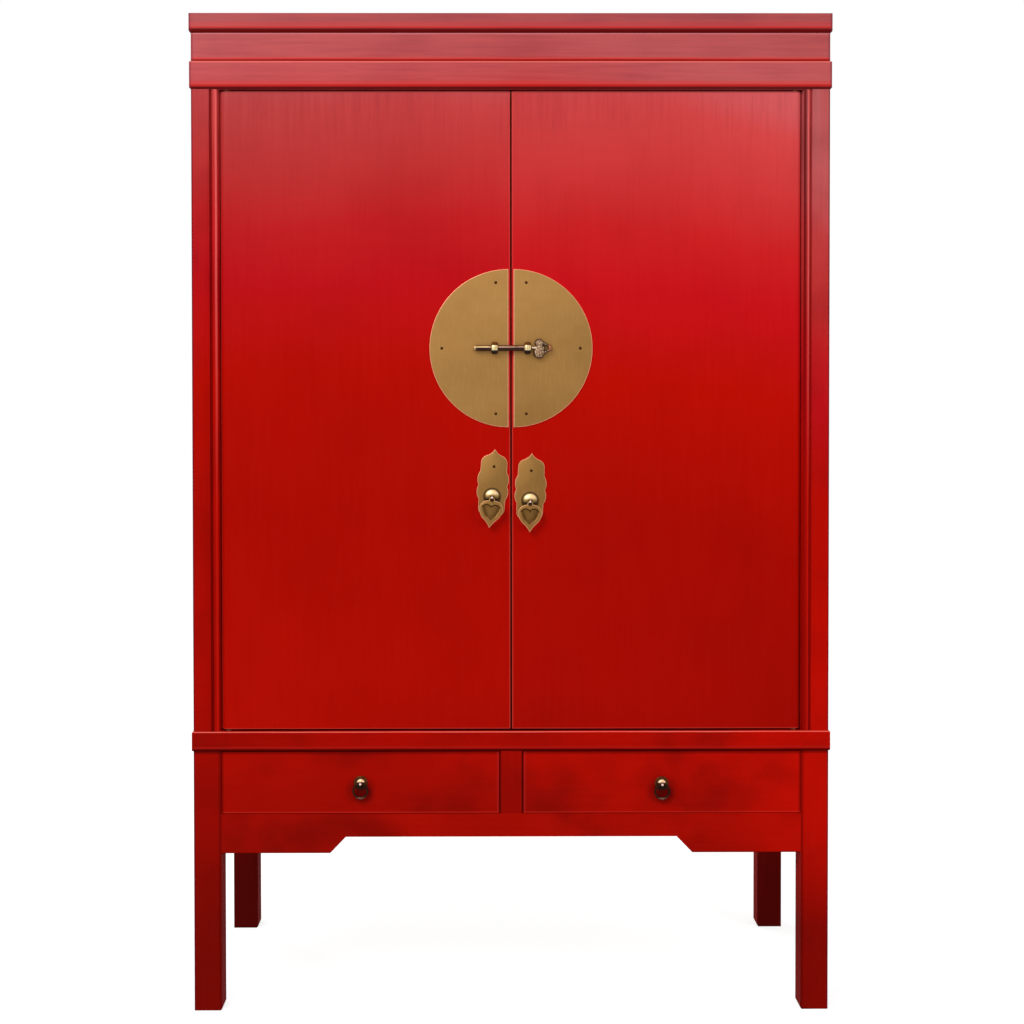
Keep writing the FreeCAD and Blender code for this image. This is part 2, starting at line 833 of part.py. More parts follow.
def staple():
    """Heavy eye of the lock with its stem through the door, for the right-hand side."""
    x = staple_spacing / 2
    eye, hole = lying_eye(Vector(x, pin_y, lock_height), staple_width, staple_radius, staple_bevel,
                          pin_radius + pin_gap)
    return merged([eye, stem(x, lock_height, pin_y, door_back_y, staple_stem_radius)]).cut(hole)


def pebble(x, z, radius):
    """Bevelled round lobe of the pin's head."""
    profile = ((0, radius - head_bevel), (head_bevel, radius), (head_thickness - head_bevel, radius),
               (head_thickness, radius - head_bevel))
    return spindle(Vector(x, -head_thickness / 2, z), to_back, profile, turned_facets)


def pin_head(start):
    """Cast three-lobed head round an open middle, ending in a knob."""
    lobe_x = start + head_middle_radius + head_lobe_reach
    knob = Vector(start + head_knob_reach, 0, 0)
    pieces = [pebble(lobe_x, head_lobe_rise, head_upper_radius),
              pebble(lobe_x, -head_lobe_rise, head_lower_radius),
              pebble(start + head_middle_radius, 0, head_middle_radius),
              bead(knob, to_back, head_knob_radius, turned_facets)]
    for way, radius in ((1, head_upper_radius), (-1, head_lower_radius)):
        root = Vector(lobe_x + radius / 2, 0, way * (head_lobe_rise + radius / 2))
        bend = Vector((root.x + knob.x) / 2 + head_arm_bow / 2, 0, root.z / 2 + way * head_arm_bow)
        pieces.append(shank(head_arm_radius, root, bend))
        pieces.append(bead(bend, to_back, head_arm_radius, shank_facets))
        pieces.append(shank(head_arm_radius, bend, knob))
    return pieces


def lock_pin():
    """Draw pin through both staples, stopped by its first bead against the right-hand one."""
    tip_x = -staple_spacing / 2 - staple_width / 2 - pin_tip_reach
    bead_x = staple_spacing / 2 + staple_width / 2 + pin_gap + pin_bead_radii[0]
    neck_end = bead_x - pin_bead_radii[0] + pin_neck_length
    shaft = drum(pin_radius, Vector(tip_x, 0, 0), Vector(bead_x, 0, 0))
    neck = shank(pin_neck_radius, Vector(bead_x, 0, 0), Vector(neck_end + pin_bead_radii[1], 0, 0))
    beads = [bead(Vector(bead_x, 0, 0), to_right, pin_bead_radii[0], turned_facets),
             bead(Vector(bead_x + sum(pin_bead_radii) - pin_gap, 0, 0), to_right, pin_bead_radii[1],
                  turned_facets)]
    pin = merged([shaft, neck] + beads + pin_head(neck_end))
    return placed(pin, 0, pin_y, lock_height)


def pull_plate(lean, inset, height):
    """Lobed plate behind a pendant; its own middle lies above the boss."""
    rise = plate_boss_drop - plate_height / 2
    quarter = traced((0, plate_height / 2), scaled(plate_quarter_shares, plate_width / 2, plate_height / 2))
    half = [(x, z + rise) for x, z in quarter] + [(x, rise - z) for x, z in reversed(quarter)]
    return placed(sheet(flipped(half), -plate_thickness, 0), inset, door_front_y, height, lean)


def pull_nail_place(lean, inset, height):
    """Place (x, z) of the nail near the plate's tip."""
    rise = plate_boss_drop - plate_nail_drop
    turn = math.radians(lean)
    return (inset + rise * math.sin(turn), height + rise * math.cos(turn))


def pull_boss(lean, inset, height):
    """Domed boss and the split pin whose eye holds the pendant."""
    boss = spindle(Vector(inset, plate_front_y, height), -to_back, cap_profile(boss_radius, boss_height),
                   turned_facets)
    boss = boss.cut(stem_hole(inset, height, eye_stem_radius + stem_gap, door_back_y))
    half = to_right * (eye_width / 2)
    eye = spindle(-half, to_right, ((0, eye_radius + eye_wire), (eye_width, eye_radius + eye_wire)),
                  turned_facets).cut(drum(eye_radius - eye_wire, -half, half))
    eye = placed(eye, inset, eye_y, height, lean)
    pin = merged([eye, stem(inset, height, eye_y + eye_radius, door_back_y, eye_stem_radius)])
    return Part.makeCompound([boss, pin])


def pendant(lean, inset, height):
    """Pear-shaped pendant with a heart cut-out, hung from the foot of its eye."""
    half = traced((0, pendant_drop * pendant_top_share),
                  scaled(pendant_half_shares, pendant_width / 2, -pendant_drop))
    body = sheet(flipped(half), -pendant_thickness / 2, pendant_thickness / 2)
    heart_height = heart_tip_drop - heart_top_drop
    heart = traced((0, -heart_height * heart_notch_share),
                   scaled(heart_half_shares, heart_width / 2, -heart_height))
    window = sheet(flipped([(x, z - heart_top_drop) for x, z in heart]),
                   -pendant_thickness, pendant_thickness)
    hole = shank(pendant_hole_radius, Vector(0, -pendant_thickness, 0), Vector(0, pendant_thickness, 0))
    body = body.cut([window, hole])
    body.translate(Vector(0, 0, -eye_radius))
    return placed(body, inset, eye_y, height, lean)


def ring_rose(x, z):
    """Round plate and boss of a drawer pull, and the split pin whose eye holds the ring."""
    back = drawer_front_y + drawer_front_thickness
    profile = [(0, rose_radius), (rose_thickness, rose_radius)]
    for rise, radius in cap_profile(rose_boss_radius, rose_boss_height):
        profile.append((rose_thickness + rise, radius))
    plate = spindle(Vector(x, drawer_front_y, z), -to_back, profile, turned_facets)
    plate = plate.cut(stem_hole(x, z, eye_stem_radius + stem_gap, back))
    eye, hole = lying_eye(Vector(x, rose_eye_y, z), rose_eye_width, rose_eye_radius, rose_eye_bevel,
                          rose_eye_hole)
    pin = merged([eye, stem(x, z, rose_eye_y, back, eye_stem_radius)]).cut(hole)
    return Part.makeCompound([plate, pin])


def pull_ring(x, z):
    """Ring of a drawer pull with a bead at its foot."""
    centre = Vector(x, rose_eye_y, z - ring_radius)
    sections = []
    for count in range(ring_facets):
        turn = math.tau * count / ring_facets
        outward = to_right * math.sin(turn) - to_top * math.cos(turn)
        sections.append(outline(centre + outward * ring_radius, outward, to_back, ring_wire, wire_facets))
    foot = centre - to_top * ring_radius
    return merged([skin(sections, True), bead(foot, to_right, ring_bead_radius, wire_facets)])


def drawer(side, ring_z):
    """Front and box of a drawer, made for the right-hand side."""
    x_low = divider_width / 2 + drawer_side_gap
    x_high = post_inner_x - drawer_side_gap
    zs = (apron_top_z + drawer_low_gap, belt_low_z - drawer_high_gap)
    front_back = drawer_front_y + drawer_front_thickness
    front = block((x_low, x_high), (drawer_front_y, front_back), zs)
    front = bevelled(front, lambda edge: abs(edge.CenterOfMass.y - drawer_front_y) < near)
    low = apron_top_z + drawer_slide_gap
    high = low + drawer_side_height
    end = half_depth - side_apron_setback - side_apron_thickness - drawer_back_gap
    side_ys = (front_back - drawer_side_lap, end)
    inner_low = x_low + drawer_side_inset
    inner_high = x_high - drawer_side_inset
    walls = [block((inner_low, inner_low + drawer_wall), side_ys, (zs[0], high)),
             block((inner_high - drawer_wall, inner_high), side_ys, (zs[0], high))]
    room = list(walls)
    walls = [merged([wall, block((wall.BoundBox.XMin, wall.BoundBox.XMax), (front_back, end), (low, high))])
             for wall in walls]
    bottom_low = low + drawer_bottom_rise
    inside = (inner_low + drawer_wall, inner_high - drawer_wall)
    back = block(inside, (end - drawer_wall, end), (bottom_low + drawer_bottom_thickness, high))
    bottom = block((inside[0] - drawer_bottom_groove, inside[1] + drawer_bottom_groove),
                   (front_back - drawer_bottom_groove, end - near),
                   (bottom_low, bottom_low + drawer_bottom_thickness))
    walls = [wall.cut(bottom) for wall in walls]
    pull_x = (x_low + x_high) / 2
    hole = stem_hole(pull_x, ring_z, eye_stem_radius + stem_gap, front_back + overrun)
    front = front.cut(room + [bottom, hole])
    box = Part.makeCompound(walls + [back, bottom])
    return mirrored(front, side), mirrored(box, side), side * pull_x


def build_case(nodes):
    """Posts, rings of rails, panels, boards and drawer runners."""
    frieze, frieze_cuts = ring((frieze_low_z, frame_low_z), 0, frieze_depth, arris, arris)
    band, band_cuts = ring((band_low_z, frieze_low_z), moulding_proud, band_depth, band_round_low,
                           band_round_top)
    belt, belt_cuts = ring((belt_low_z, belt_top_z), moulding_proud, belt_depth, belt_round, belt_round)
    front_apron, front_mortise = apron(half_width, half_depth, apron_top_z, front_apron_thickness, 0)
    rear_apron, rear_mortise = apron(half_width, half_depth, belt_low_z, side_apron_thickness,
                                     side_apron_setback)
    side_apron, side_mortise = apron(half_depth, half_width, belt_low_z, side_apron_thickness,
                                     side_apron_setback)
    runner_set, runner_rooms = runners()

    panels = [panel(joint_gap, side) for side in (-1, 1)]
    backs = [back_panel(joint_gap, side) for side in (-1, 1)]
    cuts = frieze_cuts + band_cuts + belt_cuts + panels
    cuts += [front_mortise, turned(rear_mortise, 2), turned(side_mortise, 1), turned(side_mortise, 3)]
    front_post = post(False, cuts + strip_room())
    rear_post = post(True, cuts + backs)
    for name, side in sides:
        nodes[name + "_front_post"] = mirrored(front_post, side)
        nodes[name + "_rear_post"] = mirrored(rear_post, side)
        nodes[name + "_side_panel"] = panel(0, side)
        drop = left_notch_drop if side < 0 else right_notch_drop
        nodes[name + "_jamb_strip"] = mirrored(jamb_strip(drop), side)

    rear_cuts = backs + [back_stile_tenon(joint_gap)]
    sockets = pivot_sockets()
    for word, rails in (("frieze", frieze), ("cornice_band", band), ("belt_rail", belt)):
        floor_cut = [floor_room()] if word == "belt_rail" else []
        front_cuts = sockets + floor_cut + [divider(joint_gap)]
        nodes[word + "_front"] = rails["front"].cut(front_cuts)
        nodes[word + "_rear"] = rails["rear"].cut(rear_cuts + floor_cut)
        ends = [rails[name].cut(panels + floor_cut) for name in ("left", "right")]
        nodes[word + "_ends"] = Part.makeCompound(ends)

    member_x = top_frame_member(half_width + top_overhang, half_depth + top_overhang)
    member_y = top_frame_member(half_depth + top_overhang, half_width + top_overhang)
    top_cuts = [top_tenon(x, y, joint_gap) for x in (-1, 1) for y in (-1, 1)] + [top_panel(joint_gap)]
    nodes["top_frame_front"] = member_x.cut(top_cuts)
    nodes["top_frame_rear"] = turned(member_x, 2).cut(top_cuts)
    nodes["top_frame_ends"] = Part.makeCompound([turned(member_y, quarters).cut(top_cuts)
                                                 for quarters in (1, 3)])
    nodes["top_panel"] = top_panel(0)

    nodes["back_panels"] = Part.makeCompound([back_panel(0, side) for side in (-1, 1)])
    nodes["back_stile"] = back_stile()
    nodes["main_floor"] = main_floor()
    nodes["lower_shelf"] = shelf(shelf_heights[0])
    nodes["upper_shelf"] = shelf(shelf_heights[1])
    nodes["shelf_cleats"] = shelf_cleats()
    stop_front = front_y + band_depth
    nodes["door_stop"] = block(both(post_inner_x - stop_end_gap), (stop_front, stop_front + stop_thickness),
                               (door_high_z - stop_lap, band_low_z + stop_rise))

    nodes["drawer_divider"] = divider(0)
    nodes["front_apron"] = front_apron.cut(runner_rooms + [divider(joint_gap)])
    nodes["rear_apron"] = turned(rear_apron, 2).cut(runner_rooms)
    nodes["side_aprons"] = Part.makeCompound([turned(side_apron, quarters) for quarters in (1, 3)])
    nodes["drawer_runners"] = runner_set


def build_door(nodes, name, side, pull):
    """One door with all that is fixed to it, and its pendant."""
    inset, drop, plate_lean, pendant_lean = pull
    height = lock_height - drop
    x = side * inset
    nail_places = [(side * nx, nz) for nx, nz in moon_nails()]
    tip_nail = pull_nail_place(plate_lean, x, height)
    nails = [nail(nx, moon_front_y, nz) for nx, nz in nail_places]
    nails.append(nail(tip_nail[0], plate_front_y, tip_nail[1]))
    nail_holes = [stem_hole(nx, nz, nail_radius, moon_front_y + nail_length)
                  for nx, nz in nail_places + [tip_nail]]
    staple_hole = stem_hole(side * staple_spacing / 2, lock_height, staple_stem_radius + stem_gap,
                            door_back_y + overrun)
    pull_hole = stem_hole(x, height, eye_stem_radius + stem_gap, door_back_y + overrun)

    nodes[name + "_door_panel"] = door_slab(side, nail_holes + [staple_hole, pull_hole])
    battens = [mirrored(batten(place), side) for place in batten_heights()]
    nodes[name + "_door_battens"] = Part.makeCompound(battens)
    nodes[name + "_door_pivots"] = door_pivots(side)
    nodes[name + "_door_nails"] = Part.makeCompound(nails)
    nodes[name + "_moon_plate"] = mirrored(moon_plate(), side).cut(nail_holes + [staple_hole])
    nodes[name + "_lock_staple"] = mirrored(staple(), side)
    nodes[name + "_pull_plate"] = pull_plate(plate_lean, x, height).cut(nail_holes + [pull_hole])
    nodes[name + "_pull_boss"] = pull_boss(plate_lean, x, height)
    nodes[name + "_pendant"] = pendant(pendant_lean, x, height)


def build_drawer(nodes, name, side, ring_z):
    """One drawer with its ring pull."""
    front, box, pull_x = drawer(side, ring_z)
    nodes[name + "_drawer_front"] = front
    nodes[name + "_drawer_box"] = box
    nodes[name + "_drawer_rose"] = ring_rose(pull_x, ring_z)
    nodes[name + "_drawer_ring"] = pull_ring(pull_x, ring_z)


def main():
    """Build every node and write one file for each."""
    nodes = {}
    build_case(nodes)
    build_door(nodes, "left", -1, (left_pull_inset, left_pull_drop, left_plate_lean, left_pendant_lean))
    build_door(nodes, "right", 1, (right_pull_inset, right_pull_drop, right_plate_lean, right_pendant_lean))
    nodes["lock_pin"] = lock_pin()
    build_drawer(nodes, "left", -1, left_ring_height)
    build_drawer(nodes, "right", 1, right_ring_height)
    os.makedirs("parts", exist_ok=True)
    for name, shape in nodes.items():
        shape.exportStep("parts/" + name + ".step")


main()
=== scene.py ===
"""Looks of the red lacquered wedding cabinet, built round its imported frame."""

import bpy
import math
from bpy.props import FloatProperty, FloatVectorProperty, PointerProperty
from bpy.types import Operator, Panel, PropertyGroup
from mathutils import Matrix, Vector, noise


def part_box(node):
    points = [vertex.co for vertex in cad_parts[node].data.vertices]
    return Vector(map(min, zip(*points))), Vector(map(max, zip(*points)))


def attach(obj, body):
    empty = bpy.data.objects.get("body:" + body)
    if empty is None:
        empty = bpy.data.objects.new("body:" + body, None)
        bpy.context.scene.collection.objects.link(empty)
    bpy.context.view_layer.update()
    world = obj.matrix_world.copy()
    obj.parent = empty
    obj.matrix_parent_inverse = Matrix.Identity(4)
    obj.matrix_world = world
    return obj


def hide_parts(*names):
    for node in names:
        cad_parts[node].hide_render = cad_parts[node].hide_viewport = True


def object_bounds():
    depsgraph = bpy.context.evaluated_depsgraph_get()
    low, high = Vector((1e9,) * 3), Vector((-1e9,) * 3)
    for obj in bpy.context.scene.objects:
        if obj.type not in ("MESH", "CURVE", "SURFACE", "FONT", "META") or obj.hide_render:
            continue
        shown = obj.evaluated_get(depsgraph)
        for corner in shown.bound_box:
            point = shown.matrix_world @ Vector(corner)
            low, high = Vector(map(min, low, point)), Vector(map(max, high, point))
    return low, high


bl_info = {
    "name": "Wedding cabinet",
    "version": (1, 0, 0),
    "blender": (4, 5, 0),
    "location": "View3D > Sidebar > Cabinet",
    "description": "Dresses a red lacquered wedding cabinet with its brass furniture",
    "category": "Object",
}

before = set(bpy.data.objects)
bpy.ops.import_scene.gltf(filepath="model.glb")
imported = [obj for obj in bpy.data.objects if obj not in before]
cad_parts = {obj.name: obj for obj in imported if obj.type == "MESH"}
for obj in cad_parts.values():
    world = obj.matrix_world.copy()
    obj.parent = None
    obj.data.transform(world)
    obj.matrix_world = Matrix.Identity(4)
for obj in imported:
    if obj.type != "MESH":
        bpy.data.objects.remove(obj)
CASE_LOW, CASE_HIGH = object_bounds()
MM = 0.001
SIDES = {"left": -1, "right": 1}
TALL = CASE_HIGH[2]
WHITE = (1.0, 1.0, 1.0, 1.0)
PIN_BEHIND = 9.6 * MM  # from the staples' front to the lock pin's axis
PIN_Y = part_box("right_lock_staple")[0][1] + PIN_BEHIND


# Colours

def tint(red, green, blue):
    """Linear colour from display values out of 255."""
    values = []
    for value in (red, green, blue):
        share = value / 255
        values.append(share / 12.92 if share <= 0.04045 else ((share + 0.055) / 1.055) ** 2.4)
    return tuple(values)


def opaque(colour):
    """Colour with an alpha of one."""
    return tuple(colour)[:3] + (1.0,)


# Settings

def colour_setting(name, description, red, green, blue):
    """Colour property whose default is given in display values out of 255."""
    return FloatVectorProperty(name=name, description=description, subtype="COLOR", size=3,
                               min=0.0, max=1.0, default=tint(red, green, blue))


def length_setting(name, description, millimetres):
    """Length property whose default is given in millimetres."""
    return FloatProperty(name=name, description=description, unit="LENGTH",
                         default=millimetres * MM)


class CabinetColours(PropertyGroup):
    """Colours of the finishes."""

    # Lacquer reds by height: darker towards the feet; the crimson, rose and cornice reds above the
    # lock are painted sheen, the gloss reflecting light from above
    lacquer_foot: colour_setting("Lacquer at the feet", "Dark red of the rubbed feet", 125, 8, 1)
    lacquer_low: colour_setting("Lower lacquer", "Deep red of the lower doors", 170, 9, 0)
    lacquer_middle: colour_setting("Middle lacquer", "Bright red round the lock", 185, 11, 1)
    lacquer_crimson: colour_setting("Crimson lacquer", "Cool red above the lock", 192, 15, 23)
    lacquer_rose_sheen: colour_setting("Upper lacquer", "Faded rose red of the door heads", 196, 50, 50)
    lacquer_cornice_sheen: colour_setting("Cornice lacquer", "Dusty rose of the cornice", 193, 76, 78)
    lacquer_dark: colour_setting(
        "Rubbed lacquer", "Dark brownish red of rubbed patches and hollows", 84, 4, 2)
    # Worn edges, which also carry a painted highlight of light on their rounds
    edge: colour_setting("Worn edge", "Salmon red of worn edges", 226, 82, 70)
    brass: colour_setting("Brass sheet", "Satin brass of the plates", 162, 119, 65)
    brass_shade: colour_setting("Aged brass", "Browner brass of the aged areas", 126, 89, 42)
    # Plate rims with a painted highlight, pinkish with the red lacquer they reflect
    brass_edge_highlight: colour_setting("Brass edge", "Bright rim of the plates", 238, 152, 116)
    brass_bright: colour_setting("Polished brass", "Rubbed bright brass", 232, 202, 140)
    wood: colour_setting("Plain wood", "Unpolished wood inside and behind", 168, 130, 92)
    wood_dark: colour_setting("Wood grain", "Dark lines of the plain wood", 126, 90, 58)


class HardwareSizes(PropertyGroup):
    """Sizes of the brass furniture."""

    moon_radius: length_setting("Moon plate radius", "Radius of the round lock plate", 148)
    moon_inset: length_setting(
        "Moon plate inset", "From the middle of the case to a half plate's straight edge", 4.7)
    sheet: length_setting("Sheet thickness", "Thickness of the brass plates", 2.5)
    nail_radius: length_setting("Nail head radius", "Radius of the nails in the plates", 2.7)
    pin_radius: length_setting("Lock pin radius", "Radius of the pin's shaft", 5.4)
    staple_radius: length_setting("Staple radius", "Outer radius of the staple's eye", 11.4)
    plate_height: length_setting("Pull plate height", "Height of a door pull's plate", 138)
    plate_width: length_setting("Pull plate width", "Width of a door pull's plate", 59)
    boss_radius: length_setting("Pull boss radius", "Radius of the dome on a door pull", 14.5)
    pendant_drop: length_setting("Pendant drop", "From a pendant's hole to its tip", 54)
    pendant_width: length_setting("Pendant width", "Width of a pendant", 44)
    ring_radius: length_setting("Ring radius", "Radius of a drawer ring's middle line", 13.2)
    ring_wire: length_setting("Ring wire", "Half thickness of a drawer ring", 1.85)


def colours():
    """The colours set in the sidebar."""
    return bpy.context.scene.cabinet_colours


def sizes():
    """The sizes set in the sidebar."""
    return bpy.context.scene.cabinet_hardware


# Shader building

class Wire:
    """Socket whose arithmetic adds Math nodes."""

    def __init__(self, paint, socket):
        self.paint = paint
        self.socket = socket

    def math(self, operation, *values):
        return self.paint.node("ShaderNodeMath", dict(enumerate(values)), operation=operation)

    def __add__(self, other):
        return self.math("ADD", self, other)

    def __radd__(self, other):
        return self.math("ADD", other, self)

    def __sub__(self, other):
        return self.math("SUBTRACT", self, other)

    def __rsub__(self, other):
        return self.math("SUBTRACT", other, self)

    def __mul__(self, other):
        return self.math("MULTIPLY", self, other)

    def __truediv__(self, other):
        return self.math("DIVIDE", self, other)

    def __pow__(self, other):
        return self.math("POWER", self, other)

    def __abs__(self):
        return self.math("ABSOLUTE", self)

    def least(self, other):
        return self.math("MINIMUM", self, other)

    def most(self, other):
        return self.math("MAXIMUM", self, other)

    def held(self):
        """Kept between nought and one."""
        return self.least(1.0).most(0.0)

    def fade(self, start, end):
        """Smooth change from nought at start to one at end."""
        return self.paint.node(
            "ShaderNodeMapRange", {"Value": self, "From Min": start, "From Max": end},
            interpolation_type="SMOOTHSTEP")


def apart(x, z, x0, z0):
    """Distance in the front plane from a point."""
    across, up = x - x0, z - z0
    return (across * across + up * up) ** 0.5


class Paint:
    """Node tree of one new material, or of the world."""

    def __init__(self, name, owner=None):
        self.material = owner or bpy.data.materials.new(name)
        self.material.use_nodes = True
        self.tree = self.material.node_tree
        self.tree.nodes.clear()

    def node(self, kind, sockets=None, out=0, stops=None, **settings):
        """Add a node, with its settings first and then its sockets' values or links."""
        made = self.tree.nodes.new(kind)
        for key, value in settings.items():
            setattr(made, key, value)
        if stops:
            ramp = made.color_ramp
            while len(ramp.elements) < len(stops):
                ramp.elements.new(0.5)
            for element, (place, colour) in zip(ramp.elements, stops):
                element.position = place
                element.color = opaque(colour)
        for key, value in (sockets or {}).items():
            socket = made.inputs[key]
            if isinstance(value, Wire):
                self.tree.links.new(value.socket, socket)
            else:
                socket.default_value = value
        return Wire(self, made.outputs[out]) if made.outputs else None

    def place(self):
        """Point of the surface in metres."""
        return self.node("ShaderNodeTexCoord", out="Object")

    def parts(self, vector):
        """The three values of a vector."""
        split = self.node("ShaderNodeSeparateXYZ", {0: vector})
        return [Wire(self, socket) for socket in split.socket.node.outputs]

    def moved(self, vector, stretch, shift=(0, 0, 0)):
        """Vector scaled and shifted for a texture."""
        return self.node("ShaderNodeMapping", {"Vector": vector, "Location": shift,
                                               "Scale": stretch})

    def cloud(self, vector, scale, detail, rough):
        """Noise between nought and one."""
        return self.node("ShaderNodeTexNoise", {"Vector": vector, "Scale": scale, "Detail": detail,
                                                "Roughness": rough})

    def blend(self, share, first, second):
        """Colour mixed by a share; a Mix node takes its colours at sockets 6 and 7."""
        picks = {0: share}
        for index, colour in ((6, first), (7, second)):
            picks[index] = colour if isinstance(colour, Wire) else opaque(colour)
        return self.node("ShaderNodeMix", picks, out=2, data_type="RGBA")

    def bump(self, height, strength, distance):
        """Normal of a surface raised by a height, over a distance in metres."""
        return self.node("ShaderNodeBump", {"Height": height, "Strength": strength,
                                            "Distance": distance})

    def surface(self, **sockets):
        """Principled surface into the output; underscores stand for spaces."""
        named = {key.replace("_", " "): value for key, value in sockets.items()}
        shader = self.node("ShaderNodeBsdfPrincipled", named)
        self.node("ShaderNodeOutputMaterial", {"Surface": shader})
        return self.material

    def metal(self, colour, metallic, rough, grain, strength, distance, spread=0.2, **sockets):
        """Metal whose gloss and bumps follow a grain."""
        return self.surface(
            Base_Color=colour, Metallic=metallic, Roughness=rough + (grain - 0.5) * spread,
            Normal=self.bump(grain, strength, distance), **sockets)


# Finishes

FULL = 1.6  # brightest gain that the ramp of gains holds
DARK = 0.2  # linear red below which a painted line counts as painted shade in a recess, without gloss
GRAIN = {"x": (1.2, 26, 26), "y": (26, 1.2, 26), "z": (26, 26, 1.2)}


def lacquer_stops():
    """Red of the lacquer by height, from the floor up to the cornice: darker towards the feet, and
    rose above the lock, which is painted sheen of light from above.
    """
    c = colours()
    return ((0.05, c.lacquer_foot), (0.24, tint(160, 9, 0)), (0.32, c.lacquer_low),
            (0.50, tint(172, 9, 0)), (0.645, c.lacquer_middle), (0.705, tint(190, 14, 15)),
            (0.74, c.lacquer_crimson), (0.795, tint(195, 29, 32)), (0.855, c.lacquer_rose_sheen),
            (0.915, tint(196, 62, 62)), (0.94, c.lacquer_cornice_sheen), (0.99, tint(192, 87, 88)))


def lacquer(name, box, grain, gains, tilt, lean, climb, mottle, broad, rim, marks, shadow_halos, shaded,
            rubbed_sides):
    """Old red lacquer over wood: rose above as painted sheen, deep red below, rubbed patches and
    worn rims with a painted highlight.

    box is the piece's lowest and highest corner; gains are brightnesses at even steps of height
    up the cabinet; tilt is painted light that brightens one side of a door towards its top and
    darkens it below, and lean brightens one side; climb lowers the painted rose sheen towards the
    right-hand edge; mottle and broad are the strength of dark patches and of wide changes; rim
    wears the front's edges and paints a highlight on them; marks are painted highlights and shade,
    lines of (axis, place, half width, colour, strength), left off faces that look along their axis,
    whose colour may be "worn" for a painted highlight or "gap" for painted shade in a gap and then
    follows the height; the shadow halos are soft painted shadows of (x, z, radius, strength);
    shaded paints shade on the front below the case, and rubbed_sides makes the sides there less
    glossy.
    """
    c = colours()
    paint = Paint(name)
    spot = paint.place()
    x, _, z = paint.parts(spot)
    looks = paint.parts(paint.node("ShaderNodeTexCoord", out="Normal"))
    faces = {"x": abs(looks[0]), "z": abs(looks[2])}
    shift = (box[0].x * 7.3, box[0].z * 3.1, box[1].x * 5.7)
    large = paint.cloud(paint.moved(spot, (1, 1, 0.8), shift), 2.6, 2.0, 0.5)
    patchy = paint.cloud(paint.moved(spot, (1, 1, 1), shift), 7.5, 4.0, 0.5)
    streak = paint.cloud(paint.moved(spot, GRAIN[grain], shift), 6.0, 5.0, 0.65)
    fine = paint.cloud(paint.moved(spot, GRAIN[grain], shift), 26.0, 3.0, 0.6)

    # Height in the colour ramp, whose rose is painted sheen; climb brings it lower towards the
    # right
    right = x.most(0.0)
    level = (z + right * right * climb + (large - 0.5) * 0.12 + (streak - 0.5) * 0.03) / TALL
    colour = paint.node("ShaderNodeValToRGB", {0: level}, stops=lacquer_stops())
    gains = gains if len(gains) > 1 else gains * 2  # a single one holds throughout
    count = len(gains) - 1
    bright = paint.node("ShaderNodeValToRGB", {0: z / TALL}, stops=[
        (index / count, (gain / FULL,) * 3) for index, gain in enumerate(gains)])
    colour = paint.node("ShaderNodeVectorMath", {0: colour, 1: bright}, operation="MULTIPLY")
    # Painted light: tilt brightens one door towards its top and darkens it below; lean brightens
    # one side
    side = x * (z - 1.03) * tilt + x * lean + (large - 0.5) * broad + 1.0
    colour = paint.node("ShaderNodeVectorMath", {0: colour, "Scale": side * FULL},
                        operation="SCALE")

    # Rubbed patches, dark red below and mauve on the cornice, and brush streaks along the grain
    top = z.fade(1.60, 1.76)
    dark = paint.blend(top, c.lacquer_dark, tint(136, 48, 60))
    colour = paint.blend(patchy.fade(0.40, 0.78) * mottle, colour, dark)
    colour = paint.blend((streak - 0.5).most(0.0) * (top * 0.7 + 0.05), colour, tint(228, 92, 90))
    colour = paint.blend((0.5 - streak).most(0.0) * (top * 0.9 + 0.20), colour, dark)
    colour = paint.blend((fine - 0.5).most(0.0) * 0.14, colour, dark)

    # Worn rims round the piece's front with a painted highlight, painted lines of highlight and
    # shade that waver a little, and soft painted shadows
    if rim:
        edge = (x - box[0].x).least(box[1].x - x).least(z - box[0].z).least(box[1].z - z)
        worn = (1.0 - abs(edge).fade(0.6 * MM, 3.0 * MM)) * (0.45 + patchy * 0.5) * rim
        colour = paint.blend(worn, colour, c.edge)
    shaded_hollow = patchy * 0.0  # nought, for the gaps and the painted shade of dark lines to add to: they have no gloss
    for axis, at, half, tone, strength in marks:
        along = {"x": x, "z": z}[axis]
        waver = (patchy - 0.5) * (1.6 * MM) + (streak - 0.5) * (0.6 * MM)
        near = (1.0 - abs(along + waver - at).fade(half * 0.35, half * 1.15)) * strength
        near = near * (1.0 - faces[axis].fade(0.80, 0.97))
        # The worn tone is a painted highlight, paler up high; the gap tone is painted shade, darker
        # up high
        if tone == "worn":
            tone = paint.blend(z.fade(0.9, 1.55), tint(204, 24, 12), tint(240, 104, 100))
        elif tone == "gap":
            tone = paint.blend(z.fade(0.9, 1.55), tint(150, 8, 4), tint(84, 2, 2))
            shaded_hollow = near + shaded_hollow
        elif tone[0] < DARK:
            shaded_hollow = near + shaded_hollow
        colour = paint.blend(near, colour, tone)
    # Soft painted shadows round the drawer rings
    for spot_x, spot_z, reach, strength in shadow_halos:
        near = 1.0 - apart(x, z, spot_x, spot_z).fade(reach * 0.35, reach)
        colour = paint.blend(near * strength, colour, tint(40, 2, 1))
